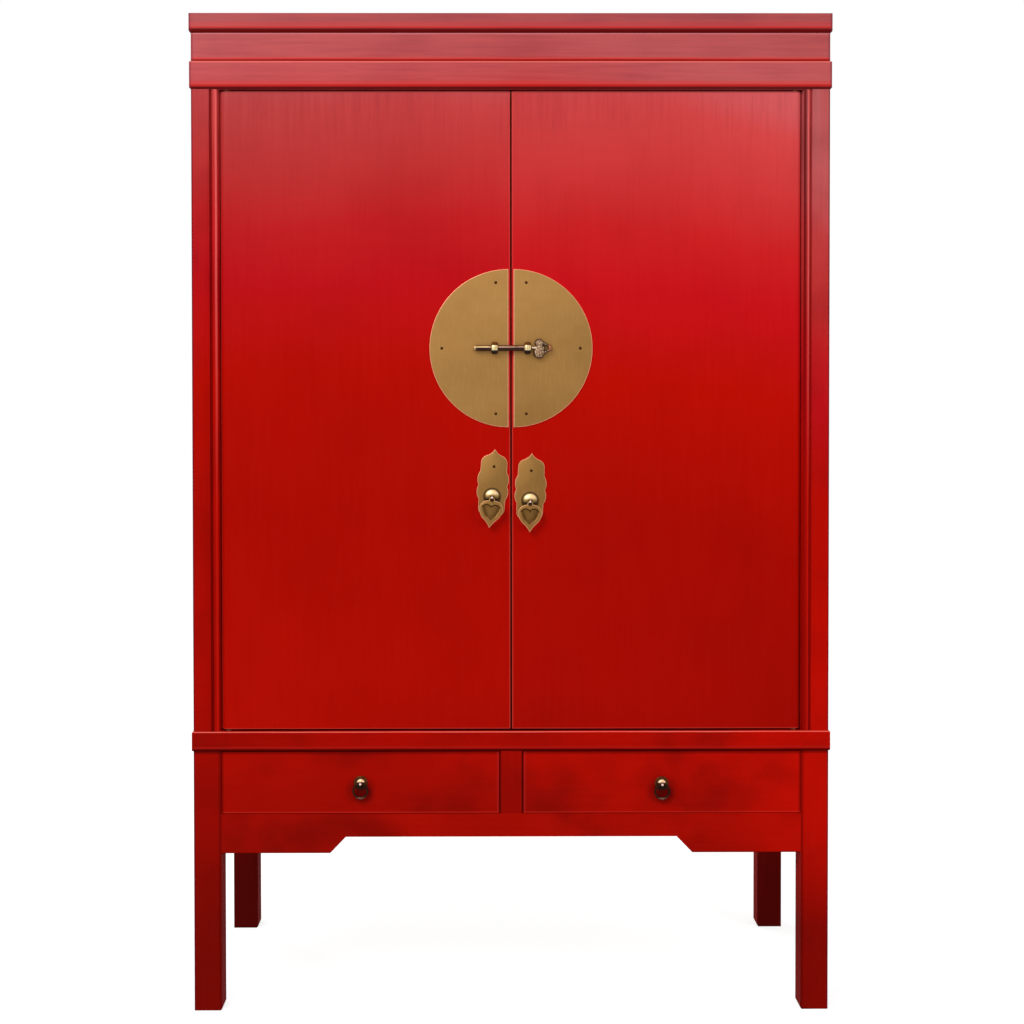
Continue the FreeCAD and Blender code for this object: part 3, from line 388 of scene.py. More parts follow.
    # Painted shade on the front faces of the rear posts low down
    if shaded:
        facing = (0.0 - looks[1]).fade(0.3, 0.8) * (1.0 - z.fade(0.5, 0.7))
        colour = paint.blend(facing * shaded, colour, tint(36, 2, 1))
    gloss = 0.34 + (patchy - 0.5) * 0.12 + (streak - 0.5) * 0.10 + shaded_hollow * 0.4
    if rubbed_sides:
        gloss = gloss + faces["x"].fade(0.5, 0.9) * (1.0 - z.fade(0.4, 0.6)) * 0.5
    coat = (0.022 + z.fade(1.35, 1.8) * 0.10) * (1.0 - shaded_hollow).most(0.0)
    return paint.surface(
        Base_Color=colour, Roughness=gloss, Specular_IOR_Level=0.018, Coat_Weight=coat,
        Coat_Roughness=0.24, Normal=paint.bump(streak * 0.6 + fine * 0.4, 0.08, 0.6 * MM))


def plain_wood(name, grain):
    """Unpolished softwood with its grain lines."""
    c = colours()
    paint = Paint(name)
    spot = paint.place()
    warped = paint.moved(spot, GRAIN[grain])
    rings = paint.cloud(warped, 1.6, 4.0, 0.6)
    lines = paint.cloud(warped, 9.0, 5.0, 0.7)
    broad = paint.cloud(spot, 3.0, 3.0, 0.5)
    colour = paint.blend(rings.fade(0.30, 0.75) * 0.55, c.wood, c.wood_dark)
    colour = paint.blend(lines.fade(0.50, 0.80) * 0.45, colour, c.wood_dark)
    colour = paint.blend(broad.fade(0.4, 0.8) * 0.25, colour, tint(186, 158, 124))
    return paint.surface(
        Base_Color=colour, Roughness=0.62 + (lines - 0.5) * 0.2, Specular_IOR_Level=0.3,
        Normal=paint.bump(lines, 0.25, 0.8 * MM))


def brass_sheet(name, shadows=(), soft_shadows=(), lip=0.0):
    """Satin brass plate, browner low down and towards the right, with brush marks and specks.

    shadows are painted shadows, dark rings of (x, z, radius) round a boss or a hole; the soft
    shadows are soft brown painted shadows of the same kind; and lip is how far from the middle of
    the cabinet the painted pink highlight along a half plate's straight edge reaches.
    """
    c = colours()
    paint = Paint(name)
    spot = paint.place()
    x, _, z = paint.parts(spot)
    broad = paint.cloud(spot, 9.0, 3.0, 0.55)
    brushed = paint.cloud(paint.moved(spot, (60, 60, 3)), 9.0, 4.0, 0.7)
    swept = paint.cloud(paint.moved(spot, (3, 60, 60)), 9.0, 4.0, 0.7)
    specks = paint.cloud(spot, 420.0, 2.0, 0.6)
    # Browner towards the bottom and the right, in wide blotches
    low_right = ((1.34 - z) * 3.0 + x * 1.1).held() * 0.80 + (broad - 0.5) * 0.9
    colour = paint.blend(low_right.held(), c.brass, c.brass_shade)
    colour = paint.blend(abs(brushed - 0.5) * 0.35, colour, c.brass_bright)
    colour = paint.blend((0.5 - swept).most(0.0) * 0.5, colour, c.brass_shade)
    colour = paint.blend(specks.fade(0.62, 0.74) * 0.35, colour, c.brass_shade)
    # Painted shadow rings, and soft painted shadows
    for spot_x, spot_z, radius in shadows:
        ring = 1.0 - apart(x, z, spot_x, spot_z).fade(radius + 0.8 * MM, radius + 3.4 * MM)
        colour = paint.blend(ring * 0.9, colour, tint(40, 21, 6))
    for spot_x, spot_z, radius in soft_shadows:
        near = 1.0 - apart(x, z, spot_x, spot_z).fade(radius * 0.7, radius)
        colour = paint.blend(near * 0.25, colour, tint(84, 58, 22))
    # Painted pink highlight along a half plate's straight edge
    if lip:
        near = 1.0 - abs(x).fade(lip * 0.75, lip)
        colour = paint.blend(near * (0.45 + broad * 0.4), colour, tint(222, 152, 138))
    return paint.surface(
        Base_Color=colour, Metallic=0.92, Roughness=0.46 + (swept - 0.5) * 0.16,
        Normal=paint.bump(brushed * 0.4 + swept * 0.3 + broad * 0.8, 0.07, 0.6 * MM))


def brass_rim(name, tip=None):
    """Plate's edge with a painted highlight, pink with the red lacquer it reflects and patchy; with
    a tip's height, mostly below it.
    """
    c = colours()
    paint = Paint(name)
    spot = paint.place()
    worn = paint.cloud(spot, 70.0, 3.0, 0.6)
    patch = paint.cloud(spot, 30.0, 2.0, 0.5)
    share = worn.fade(0.30, 0.60) * 0.5 + patch.fade(0.34, 0.50) * 0.65
    if tip:
        low = 1.0 - paint.parts(spot)[2].fade(tip - 10.0 * MM, tip + 12.0 * MM)
        share = share * 0.25 + low * 0.65
    share = share.held()
    colour = paint.blend(share, tint(196, 158, 100), c.brass_edge_highlight)
    return paint.surface(Base_Color=colour, Metallic=0.35, Roughness=0.42 + worn * 0.1)


def domed(name, x0, z0, reach):
    """Dome in painted light: a cream highlight crescent above, painted shade olive round the eye
    and dark below, and a dark painted shadow round its foot.
    """
    paint = Paint(name)
    spot = paint.place()
    x, _, z = paint.parts(spot)
    worn = paint.cloud(spot, 190.0, 3.0, 0.6)
    off = apart(x, z, x0, z0) / reach + (worn - 0.5) * 0.10
    rise = (z - z0) / reach + (worn - 0.5) * 0.2
    colour = paint.blend(rise.fade(-0.30, 0.15), tint(48, 30, 8), tint(150, 120, 64))
    colour = paint.blend(rise.fade(0.06, 0.46), colour, tint(240, 206, 152))
    near = apart(x, z, x0, z0 - 0.8 * MM)
    colour = paint.blend((1.0 - near.fade(3.6 * MM, 6.0 * MM)) * 0.9, colour, tint(84, 58, 24))
    colour = paint.blend(off.fade(0.84, 0.97) * 0.8, colour, tint(84, 54, 20))
    return paint.metal(colour, 0.75, 0.40, worn, 0.03, 0.4 * MM, spread=0.12)


def eye_painted_light(name, centre_z, reach):
    """Eye of a split pin in painted light: olive crown in painted shade, cream at its very top, a
    pale painted highlight where the pendant hangs, and nearly black painted shade below.
    """
    paint = Paint(name)
    spot = paint.place()
    rise = (paint.parts(spot)[2] - centre_z) / reach
    colour = paint.blend(rise.fade(-0.50, -0.34), tint(20, 8, 5), tint(255, 230, 216))
    colour = paint.blend(rise.fade(0.08, 0.22), colour, tint(84, 56, 22))
    colour = paint.blend(rise.fade(0.46, 0.64), colour, tint(244, 212, 158))
    return paint.surface(Base_Color=colour, Metallic=0.6, Roughness=0.34)


# Modelling helpers

ARC_STEPS = 8
MOON_STEPS = 96


def take(*objects):
    """Select only these objects, the last one active."""
    bpy.ops.object.select_all(action="DESELECT")
    for obj in objects:
        obj.select_set(True)
    bpy.context.view_layer.objects.active = objects[-1]


def settle(obj):
    """Put an object's place and turn into its mesh."""
    take(obj)
    bpy.ops.object.transform_apply(location=True, rotation=True, scale=True)
    return obj


def added(name):
    """The object a primitive operator has just added, under its own name."""
    obj = bpy.context.active_object
    obj.name = name
    obj.data.name = name
    return obj


def opened(obj):
    """Enter edit mode with everything selected."""
    take(obj)
    bpy.ops.object.mode_set(mode="EDIT")
    bpy.ops.mesh.select_all(action="SELECT")


def closed_outward():
    """Turn all faces outward and leave edit mode."""
    bpy.ops.mesh.select_all(action="SELECT")
    bpy.ops.mesh.normals_make_consistent(inside=False)
    bpy.ops.object.mode_set(mode="OBJECT")


def pick_edges(obj, wanted):
    """Enter edit mode with the edges selected whose two ends are wanted."""
    take(obj)
    bpy.ops.object.mode_set(mode="EDIT")
    bpy.ops.mesh.select_mode(type="EDGE")
    bpy.ops.mesh.select_all(action="DESELECT")
    bpy.ops.object.mode_set(mode="OBJECT")
    points = obj.data.vertices
    for edge in obj.data.edges:
        edge.select = wanted(points[edge.vertices[0]].co, points[edge.vertices[1]].co)
    bpy.ops.object.mode_set(mode="EDIT")


def joined(name, *objects):
    """One object of several, with its doubles merged and normals outward."""
    take(*objects)
    if len(objects) > 1:
        bpy.ops.object.join()
    obj = added(name)
    opened(obj)
    bpy.ops.mesh.remove_doubles(threshold=0.01 * MM)
    closed_outward()
    return obj


def smoothed(obj, angle):
    """Shade an object smooth but for edges sharper than an angle in degrees."""
    take(obj)
    bpy.ops.object.shade_smooth_by_angle(angle=math.radians(angle))
    return obj


def changed(obj, kind, **settings):
    """Apply one modifier."""
    take(obj)
    made = obj.modifiers.new(kind.lower(), kind)
    for key, value in settings.items():
        setattr(made, key, value)
    bpy.ops.object.modifier_apply(modifier=made.name)
    return obj


def copied(obj, name):
    """Copy of an object with a mesh of its own."""
    copy = obj.copy()
    copy.data = obj.data.copy()
    copy.name = name
    copy.data.name = name
    bpy.context.collection.objects.link(copy)
    return copy


def placed(obj, name, where, lean=0.0):
    """Copy of a piece leant in the front plane and moved to its place."""
    copy = copied(obj, name)
    copy.rotation_euler = (0.0, math.radians(lean), 0.0)
    copy.location = where
    return settle(copy)


def dropped(*objects):
    """Remove patterns that were only copied from."""
    for obj in objects:
        bpy.data.objects.remove(obj)


def dressed(obj, body, slot, nodes, *materials):
    """Give a finished piece its materials and body, and hide the nodes it stands for; slot is not
    used.
    """
    obj.data.materials.clear()
    for material in materials:
        obj.data.materials.append(material)
    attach(obj, body)
    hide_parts(*nodes)
    return obj


def middle_of(box):
    """Middle of a lowest and a highest corner."""
    return [(low + high) / 2 for low, high in zip(*box)]


def arc_between(start, via, end, steps):
    """Points after start along the arc through three points."""
    if via is None:
        return [end]
    (ax, ay), (bx, by), (cx, cy) = start, via, end
    twice = 2 * (ax * (by - cy) + bx * (cy - ay) + cx * (ay - by))
    a2, b2, c2 = ax * ax + ay * ay, bx * bx + by * by, cx * cx + cy * cy
    ux = (a2 * (by - cy) + b2 * (cy - ay) + c2 * (ay - by)) / twice
    uy = (a2 * (cx - bx) + b2 * (ax - cx) + c2 * (bx - ax)) / twice
    radius = math.hypot(ax - ux, ay - uy)
    first = math.atan2(ay - uy, ax - ux)
    middle = math.atan2(by - uy, bx - ux)
    last = math.atan2(cy - uy, cx - ux)
    turn = (last - first) % math.tau
    if (middle - first) % math.tau > turn:
        turn -= math.tau
    turns = [first + turn * step / steps for step in range(1, steps + 1)]
    return [(ux + radius * math.cos(angle), uy + radius * math.sin(angle)) for angle in turns]


def traced(first, spans, half_width, height):
    """Half outline from its first point and (via, end) spans given as shares."""
    points = [(first[0] * half_width, first[1] * height)]
    for via, end in spans:
        via = via and (via[0] * half_width, via[1] * height)
        end = (end[0] * half_width, end[1] * height)
        points += arc_between(points[-1], via, end, ARC_STEPS)
    return points


def mirrored_outline(half):
    """Whole outline from its right half, whose two ends lie on the middle line."""
    return half + [(-x, z) for x, z in reversed(half[1:-1])]


def slab(name, outline, back, front):
    """Flat piece of an outline in the front plane, between two depths."""
    bpy.ops.object.select_all(action="DESELECT")
    bpy.ops.mesh.primitive_circle_add(vertices=len(outline), radius=0.01, fill_type="NGON")
    obj = added(name)
    for point, (x, z) in zip(obj.data.vertices, outline):
        point.co = (x, back, z)
    opened(obj)
    bpy.ops.mesh.extrude_region_move(TRANSFORM_OT_translate={"value": (0.0, front - back, 0.0)})
    closed_outward()
    return obj


def on_plane(point, front):
    """Whether a point lies in the front face."""
    return abs(point.y - front) < 1e-6


def rims_bevelled(obj, front, width):
    """Round the edges that border the front face."""
    pick_edges(obj, lambda a, b: on_plane(a, front) and on_plane(b, front))
    bpy.ops.mesh.bevel(offset=width, segments=2, affect="EDGES")
    bpy.ops.object.mode_set(mode="OBJECT")
    return obj


def rim_painted(obj):
    """Give the faces that don't look straight forward or back the second material."""
    for face in obj.data.polygons:
        face.material_index = 0 if abs(face.normal.y) > 0.96 else 1


def dome_profile(start, rise, radius, steps):
    """Quarter ellipse forward from a start to the crown, without its first point."""
    turns = [math.pi / 2 * step / steps for step in range(1, steps + 1)]
    return [(start - rise * math.sin(turn), radius * math.cos(turn)) for turn in turns]


def lathed(name, profile, steps, axis="Y"):
    """Turned piece from (along, radius) pairs about the forward axis or the x axis."""
    bpy.ops.object.select_all(action="DESELECT")
    bpy.ops.mesh.primitive_circle_add(vertices=len(profile), radius=0.01, fill_type="NOTHING")
    obj = added(name)
    for point, (along, radius) in zip(obj.data.vertices, profile):
        point.co = (radius, along, 0.0) if axis == "Y" else (along, 0.0, radius)
    opened(obj)
    # The circle's last edge closes the profile; where that lies on the axis, its faces merge away
    bpy.ops.mesh.spin(steps=steps, angle=math.tau, center=(0.0, 0.0, 0.0),
                      axis=(0.0, 1.0, 0.0) if axis == "Y" else (1.0, 0.0, 0.0))
    bpy.ops.mesh.select_all(action="SELECT")
    bpy.ops.mesh.remove_doubles(threshold=0.005 * MM)
    closed_outward()
    return obj


def cut_by(obj, cutter):
    """Take a cutter's shape out of an object."""
    changed(obj, "BOOLEAN", object=cutter, operation="DIFFERENCE", solver="EXACT")
    dropped(cutter)
    return obj


def bar(name, start, end, radius, sides=24):
    """Round bar between two points."""
    start, end = Vector(start), Vector(end)
    way = end - start
    bpy.ops.object.select_all(action="DESELECT")
    bpy.ops.mesh.primitive_cylinder_add(vertices=sides, radius=radius, depth=way.length,
                                        location=(start + end) / 2)
    obj = added(name)
    obj.rotation_mode = "QUATERNION"
    obj.rotation_quaternion = way.to_track_quat("Z", "Y")
    obj.rotation_mode = "XYZ"
    return settle(obj)


def hoop(name, radius, wire, steps, sides, turn, y=0.0):
    """Torus turned about the x axis and the y axis, at a depth."""
    bpy.ops.object.select_all(action="DESELECT")
    bpy.ops.mesh.primitive_torus_add(
        major_radius=radius, minor_radius=wire, major_segments=steps, minor_segments=sides,
        location=(0.0, y, 0.0), rotation=turn)
    return settle(added(name))


def ball(name, centre, radius, scale=(1, 1, 1), sides=24):
    """Sphere, flattened by a scale."""
    bpy.ops.object.select_all(action="DESELECT")
    bpy.ops.mesh.primitive_uv_sphere_add(segments=sides, ring_count=sides // 2, radius=radius,
                                         location=centre)
    obj = added(name)
    obj.scale = scale
    return settle(obj)


class CABINET_OT_stage(Operator):
    """Camera, lights, white surroundings and the floor."""

    bl_idname = "cabinet.stage"
    bl_label = "Stage"

    # Camera that sees the front as the photograph does: millimetres, shares, metres and degrees
    LENS, SENSOR = 58.61, 36.0
    SHIFT = (0.0180, -0.0742)
    PLACE = (-0.0493, -3.3970, 1.1392)
    TURN = (90.0 - 1.056, 0.048, -0.303)

    # Square lamps: place, target, side in metres, watts, and whether reflections show them
    LAMPS = {
        "key_light": ((-1.9, -3.4, 3.5), (0.0, 0.0, 1.1), 2.2, 110.0, True),
        "fill_light": ((3.2, -2.6, 1.9), (0.0, 0.0, 0.9), 2.0, 40.0, False),
        "back_light": ((-2.2, 3.4, 2.8), (0.0, 0.0, 1.0), 2.2, 60.0, False),
    }

    def execute(self, context):
        scene = context.scene
        scene.view_settings.view_transform = "Standard"
        data = bpy.data.cameras.new("view_camera")
        data.lens, data.sensor_width = self.LENS, self.SENSOR
        data.shift_x, data.shift_y = self.SHIFT
        camera = bpy.data.objects.new("view_camera", data)
        camera.location = self.PLACE
        camera.rotation_euler = [math.radians(angle) for angle in self.TURN]
        scene.collection.objects.link(camera)
        scene.camera = camera
        for name, lamp in self.LAMPS.items():
            self.lamp(scene, name, *lamp)
        self.surroundings(scene)
        self.floor()
        return {"FINISHED"}

    def lamp(self, scene, name, place, target, side, power, mirrored):
        """Square lamp that looks at its target."""
        data = bpy.data.lights.new(name, "AREA")
        data.shape = "SQUARE"
        data.size = side
        data.energy = power
        obj = bpy.data.objects.new(name, data)
        obj.location = place
        obj.visible_glossy = mirrored
        obj.rotation_euler = (Vector(target) - Vector(place)).to_track_quat("-Z", "Y").to_euler()
        scene.collection.objects.link(obj)

    def seen(self, paint):
        """One for rays of the camera, of reflections and through glass."""
        path = paint.node("ShaderNodeLightPath")
        outs = path.socket.node.outputs
        return (Wire(paint, outs["Is Camera Ray"]) + Wire(paint, outs["Is Glossy Ray"])
                + Wire(paint, outs["Is Transmission Ray"])).held()

    def surroundings(self, scene):
        """White behind everything, which lights the cabinet less than it shows."""
        scene.world = bpy.data.worlds.new("studio")
        paint = Paint("studio", scene.world)
        light = paint.node("ShaderNodeBackground", {"Color": WHITE, "Strength": 0.52})
        white = paint.node("ShaderNodeBackground", {"Color": WHITE, "Strength": 1.0})
        mixed = paint.node("ShaderNodeMixShader", {0: self.seen(paint), 1: light, 2: white})
        paint.node("ShaderNodeOutputWorld", {"Surface": mixed})

    def floor(self):
        """White floor that shows soft shadows and throws little light back."""
        bpy.ops.object.select_all(action="DESELECT")
        bpy.ops.mesh.primitive_plane_add(size=60.0, location=(0.0, 0.0, 0.0))
        plane = added("studio_floor")
        paint = Paint("studio_floor")
        plain = paint.node("ShaderNodeBsdfDiffuse", {"Color": opaque((0.42, 0.42, 0.42))})
        shadowed = paint.node("ShaderNodeBsdfDiffuse", {"Color": WHITE})
        white = paint.node("ShaderNodeEmission", {"Color": WHITE, "Strength": 1.325})
        lit = paint.node("ShaderNodeMixShader", {0: 0.60, 1: shadowed, 2: white})
        mixed = paint.node("ShaderNodeMixShader", {0: self.seen(paint), 1: plain, 2: lit})
        paint.node("ShaderNodeOutputMaterial", {"Surface": mixed})
        plane.data.materials.append(paint.material)


class CABINET_OT_lacquer(Operator):
    """Red lacquer on the case, doors and drawer fronts."""

    bl_idname = "cabinet.lacquer"
    bl_label = "Red lacquer"

    GRAINS = {
        "x": ("belt_rail_front", "belt_rail_rear", "cornice_band_front", "cornice_band_rear",
              "frieze_front", "frieze_rear", "top_frame_front", "top_frame_rear", "top_panel",
              "front_apron", "left_drawer_front", "right_drawer_front"),
        "y": ("belt_rail_ends", "cornice_band_ends", "frieze_ends", "top_frame_ends",
              "side_aprons"),
        "z": ("left_front_post", "right_front_post", "left_rear_post", "right_rear_post",
              "left_side_panel", "right_side_panel", "left_jamb_strip", "right_jamb_strip",
              "left_door_panel", "right_door_panel", "drawer_divider"),
    }

    # Brightness at even steps of height from the floor to the top
    GAINS = {
        "left_front_post": (
            1.04, 0.90, 0.94, 0.93, 1.04, 1.03, 0.95, 0.90, 0.91, 0.91, 0.87, 0.88, 0.82),
        "right_front_post": (
            0.90, 0.74, 1.26, 1.32, 1.33, 1.14, 0.98, 0.93, 0.94, 0.95, 0.96, 0.88, 0.60),
        "left_door_panel": (
            1.12, 1.12, 1.12, 1.12, 1.12, 1.06, 1.01, 1.0, 1.0, 1.0, 1.0, 0.98, 0.98),
        "right_door_panel": (
            1.07, 1.07, 1.07, 1.07, 1.07, 1.03, 1.0, 1.02, 1.04, 1.04, 1.04, 1.02, 1.02),
        "top_frame": (0.77,), "frieze": (0.89,), "cornice_band": (0.96,), "belt_rail": (1.12,),
        "front_apron": (1.25,), "left_drawer_front": (1.11,), "right_drawer_front": (1.19,),
    }
    MOTTLES = {"door_panel": 0.08, "drawer_front": 0.50, "front_apron": 0.50, "belt_rail": 0.46,
               "side_panel": 0.2}
    LEANS = {"belt": 0.30, "right_drawer_front": 0.25, "left_drawer_front": -0.25}
    BROADS = {"door_panel": 0.16, "drawer_front": 0.55, "front_apron": 0.7, "belt_rail": 0.6}

    # Painted lines, mostly painted highlights on rounded edges and painted shade under roundovers,
    # overhangs and in grooves and gaps: the edge they are measured from, millimetres beyond it as
    # seen from the floor or the middle, half width in millimetres, colour and strength
    ENDS = (("left", 0.0, 4.5, tint(120, 50, 62), 0.5), ("right", 0.0, 4.5, tint(120, 50, 62), 0.5))
    MARKS = {
        "top_frame": (
            ("head", 0.0, 1.4, tint(116, 58, 68), 0.65),
            ("foot", 14.0, 8.0, tint(206, 56, 56), 0.4),
            ("foot", 9.8, 1.8, tint(206, 34, 22), 0.75), ("foot", 3.5, 6.2, tint(98, 4, 3), 0.95),
            *ENDS),
        "frieze": (
            ("head", -1.0, 2.0, tint(216, 126, 130), 0.6),
            ("foot", 5.0, 2.6, tint(222, 60, 50), 0.7),
            ("foot", 1.2, 4.2, tint(150, 5, 4), 0.92), *ENDS),
        "cornice_band": (
            ("head", -1.2, 1.8, tint(244, 118, 106), 0.75),
            ("foot", 10.0, 6.0, tint(216, 50, 44), 0.45),
            ("foot", 6.0, 3.2, tint(184, 14, 10), 0.85), ("foot", 1.0, 4.4, tint(84, 5, 4), 0.92),
            *ENDS),
        "belt_rail": (
            ("head", -0.8, 1.1, tint(248, 112, 98), 0.9),
            ("foot", 7.2, 2.2, tint(176, 30, 26), 0.5),
            ("foot", 1.0, 4.5, tint(66, 3, 2), 0.85)),
        "drawer_front": (
            ("foot", 1.0, 1.8, tint(204, 40, 32), 0.5), ("head", -1.0, 5.0, tint(84, 4, 2), 0.5),
            ("outer", 0.0, 4.0, tint(96, 5, 3), 0.45), ("inner", 3.0, 2.0, tint(176, 34, 32), 0.5)),
        "drawer_divider": (
            ("left", 0.0, 3.0, tint(84, 5, 3), 0.6), ("right", 0.0, 3.0, tint(84, 5, 3), 0.6)),
        "front_apron": (("foot", 0.0, 1.6, tint(70, 4, 2), 0.7),),
        "front_post": (
            ("inner", 0.0, 6.0, tint(88, 4, 3), 0.55), ("outer", 0.0, 3.6, tint(104, 18, 34), 0.8),
            ("floor", 488.5, 4.5, tint(66, 3, 2), 0.6)),
        # On the jamb strips the worn tone is a painted highlight on the bead, and the gap tone
        # painted shade in the door's gap
        "right_jamb_strip": (
            ("middle", 549.6, 4.8, "gap", 0.85), ("middle", 557.4, 2.2, "worn", 0.9),
            ("middle", 561.4, 2.2, tint(136, 4, 3), 0.8)),
        "left_jamb_strip": (
            ("middle", -550.8, 2.4, "worn", 0.70), ("middle", -561.4, 3.0, tint(110, 3, 2), 0.8)),
        "door_panel": (("head", 0.0, 3.4, tint(112, 40, 44), 0.6),),
    }

    def execute(self, context):
        for grain, names in self.GRAINS.items():
            for name in names:
                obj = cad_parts[name]
                low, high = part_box(name)
                door = name.endswith("door_panel")
                material = lacquer(
                    "lacquer_" + name, (low, high), grain,
                    gains=self.chosen(self.GAINS, name, (1.0,)), tilt=0.5 if door else 0.0,
                    lean=self.chosen(self.LEANS, name, 0.0), climb=0.25 if door else 0.70,
                    mottle=self.chosen(self.MOTTLES, name, 0.3),
                    broad=self.chosen(self.BROADS, name, 0.3), rim=0.6 if door else 0.0,
                    marks=self.marks_of(name, low, high), shadow_halos=self.halos_of(name),
                    shaded=0.6 if name.endswith("rear_post") else 0.0,
                    rubbed_sides=name.endswith("post"))
                for slot in obj.material_slots:
                    slot.material = material
                if name.endswith("post"):
                    self.worn_post(name, low, high, material)
                elif name.endswith("jamb_strip"):
                    self.filled_strip(name, low, high, material)
                elif name.endswith("drawer_front"):
                    self.fitted_drawer_front(name, low, high, material)
        return {"FINISHED"}

    def reshaped(self, node, body, material, reshape, cuts=()):
        """Copy of a node, cut at some depths, with each point moved, that stands for the node."""
        obj = joined(node + "_lacquered", copied(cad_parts[node], node + "_lacquered"))
        for depth in cuts:
            opened(obj)
            bpy.ops.mesh.bisect(plane_co=(0.0, depth, 0.0), plane_no=(0.0, 1.0, 0.0))
            bpy.ops.object.mode_set(mode="OBJECT")
        for point in obj.data.vertices:
            reshape(point.co)
        smoothed(obj, 30.0)
        changed(obj, "WEIGHTED_NORMAL", keep_sharp=True)
        return dressed(obj, body, "red_lacquer", [node], material)

    def worn_post(self, name, low, high, material):
        """Post whose foot is worn round only at its very corner."""
        inner = min(abs(low[0]), abs(high[0]))
        corner, cut = 9.0 * MM, 14.5 * MM

        def reshape(co):
            worn = abs(co.x) < inner + corner and co.z < cut
            if worn and co.z > 1.0 * MM:
                co.z = 3.0 * MM
            elif worn:
                co.x = math.copysign(inner + 2.5 * MM, co.x)
        self.reshaped(name, "case", material, reshape)

    def filled_strip(self, name, low, high, material):
        """Bead strip with its quirk filled by lacquer and a lip behind the door's round edge."""
        inner = min(abs(low[0]), abs(high[0]))
        front = low[1]
        quirk, shallow = front + 9.0 * MM, front + 3.2 * MM
        step, lip = front + 9.5 * MM, front + 11.0 * MM

        def reshape(co):
            if abs(co.y - quirk) < 0.1 * MM:
                co.y = shallow
            elif co.y > lip - 0.1 * MM and abs(abs(co.x) - inner) < 0.1 * MM:
                co.x = math.copysign(inner - 2.2 * MM, co.x)
        self.reshaped(name, "case", material, reshape, (step, lip))

    def fitted_drawer_front(self, name, low, high, material):
        """Drawer front whose lacquered edges nearly fill its opening at the foot and outer end."""
        outer = max(abs(low[0]), abs(high[0]))
        grown = 1.0 * MM

        def reshape(co):
            if abs(co.x) > outer - 2.0 * MM:
                co.x += math.copysign(grown, co.x)
            if co.z < low[2] + 2.0 * MM:
                co.z -= grown
        self.reshaped(name, name.replace("_front", ""), material, reshape)

    def chosen(self, table, name, usual):
        """Value of the first key that is part of a name."""
        for key, value in table.items():
            if key in name:
                return value
        return usual

    def halos_of(self, name):
        """Soft painted shadows round a drawer's ring."""
        if not name.endswith("drawer_front"):
            return ()
        x, _, z = middle_of(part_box(name.replace("front", "ring")))
        return ((x, z, 34.0 * MM, 0.42), (x + 4.0 * MM, z - 6.0 * MM, 22.0 * MM, 0.45))

    def marks_of(self, name, low, high):
        """Painted highlights on edges and painted shade in grooves, in gaps and under overhangs,
        measured out on a piece.
        """
        inner, outer = sorted((low[0], high[0]), key=abs)
        edges = {"floor": ("z", 0.0), "foot": ("z", low[2]), "head": ("z", high[2]),
                 "middle": ("x", 0.0), "left": ("x", low[0]), "right": ("x", high[0]),
                 "inner": ("x", inner), "outer": ("x", outer)}
        marks = []
        for edge, beyond, half, tone, strength in self.chosen(self.MARKS, name, ()):
            axis, start = edges[edge]
            at = start + math.copysign(1.0, start) * beyond * MM
            marks.append((axis, at, half * MM, tone, strength))
        return marks


class CABINET_OT_plain_wood(Operator):
    """Plain wood inside, behind and underneath."""

    bl_idname = "cabinet.plain_wood"
    bl_label = "Plain wood"

    GRAINS = {
        "x": ("main_floor", "lower_shelf", "upper_shelf", "door_stop", "left_door_battens",
              "right_door_battens", "rear_apron"),
        "y": ("shelf_cleats", "drawer_runners", "left_drawer_box", "right_drawer_box"),
        "z": ("back_panels", "back_stile", "left_door_pivots", "right_door_pivots"),
    }

    def execute(self, context):
        for grain, names in self.GRAINS.items():
            material = plain_wood("wood_" + grain, grain)
            for name in names:
                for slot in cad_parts[name].material_slots:
                    slot.material = material
        return {"FINISHED"}


class CABINET_OT_moon_plates(Operator):
    """The two halves of the round lock plate."""

    bl_idname = "cabinet.moon_plates"
    bl_label = "Moon plates"

    def execute(self, context):
        s = sizes()
        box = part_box("right_moon_plate")
        front, middle = box[0][1], middle_of(box)[2]
        outline = []
        for step in range(MOON_STEPS + 1):
            turn = math.pi * (0.5 - step / MOON_STEPS)
            outline.append((s.moon_inset + s.moon_radius * math.cos(turn),
                            middle + s.moon_radius * math.sin(turn)))
        right = slab("right_moon_plate_brass", outline, front + s.sheet, front)
        rims_bevelled(right, front, 1.1 * MM)
        left = copied(right, "left_moon_plate_brass")
        left.scale.x = -1.0
        settle(left)
        opened(left)
        closed_outward()
        # Plates with a painted highlight along their straight edges and on their rims
        sheet, rim = brass_sheet("moon_brass", lip=s.moon_inset + 2.5 * MM), brass_rim("moon_rim")
        for side, obj in (("left", left), ("right", right)):
            smoothed(obj, 20.0)
            dressed(obj, side + "_door", "brass", [side + "_moon_plate"], sheet, rim)
            rim_painted(obj)
        return {"FINISHED"}


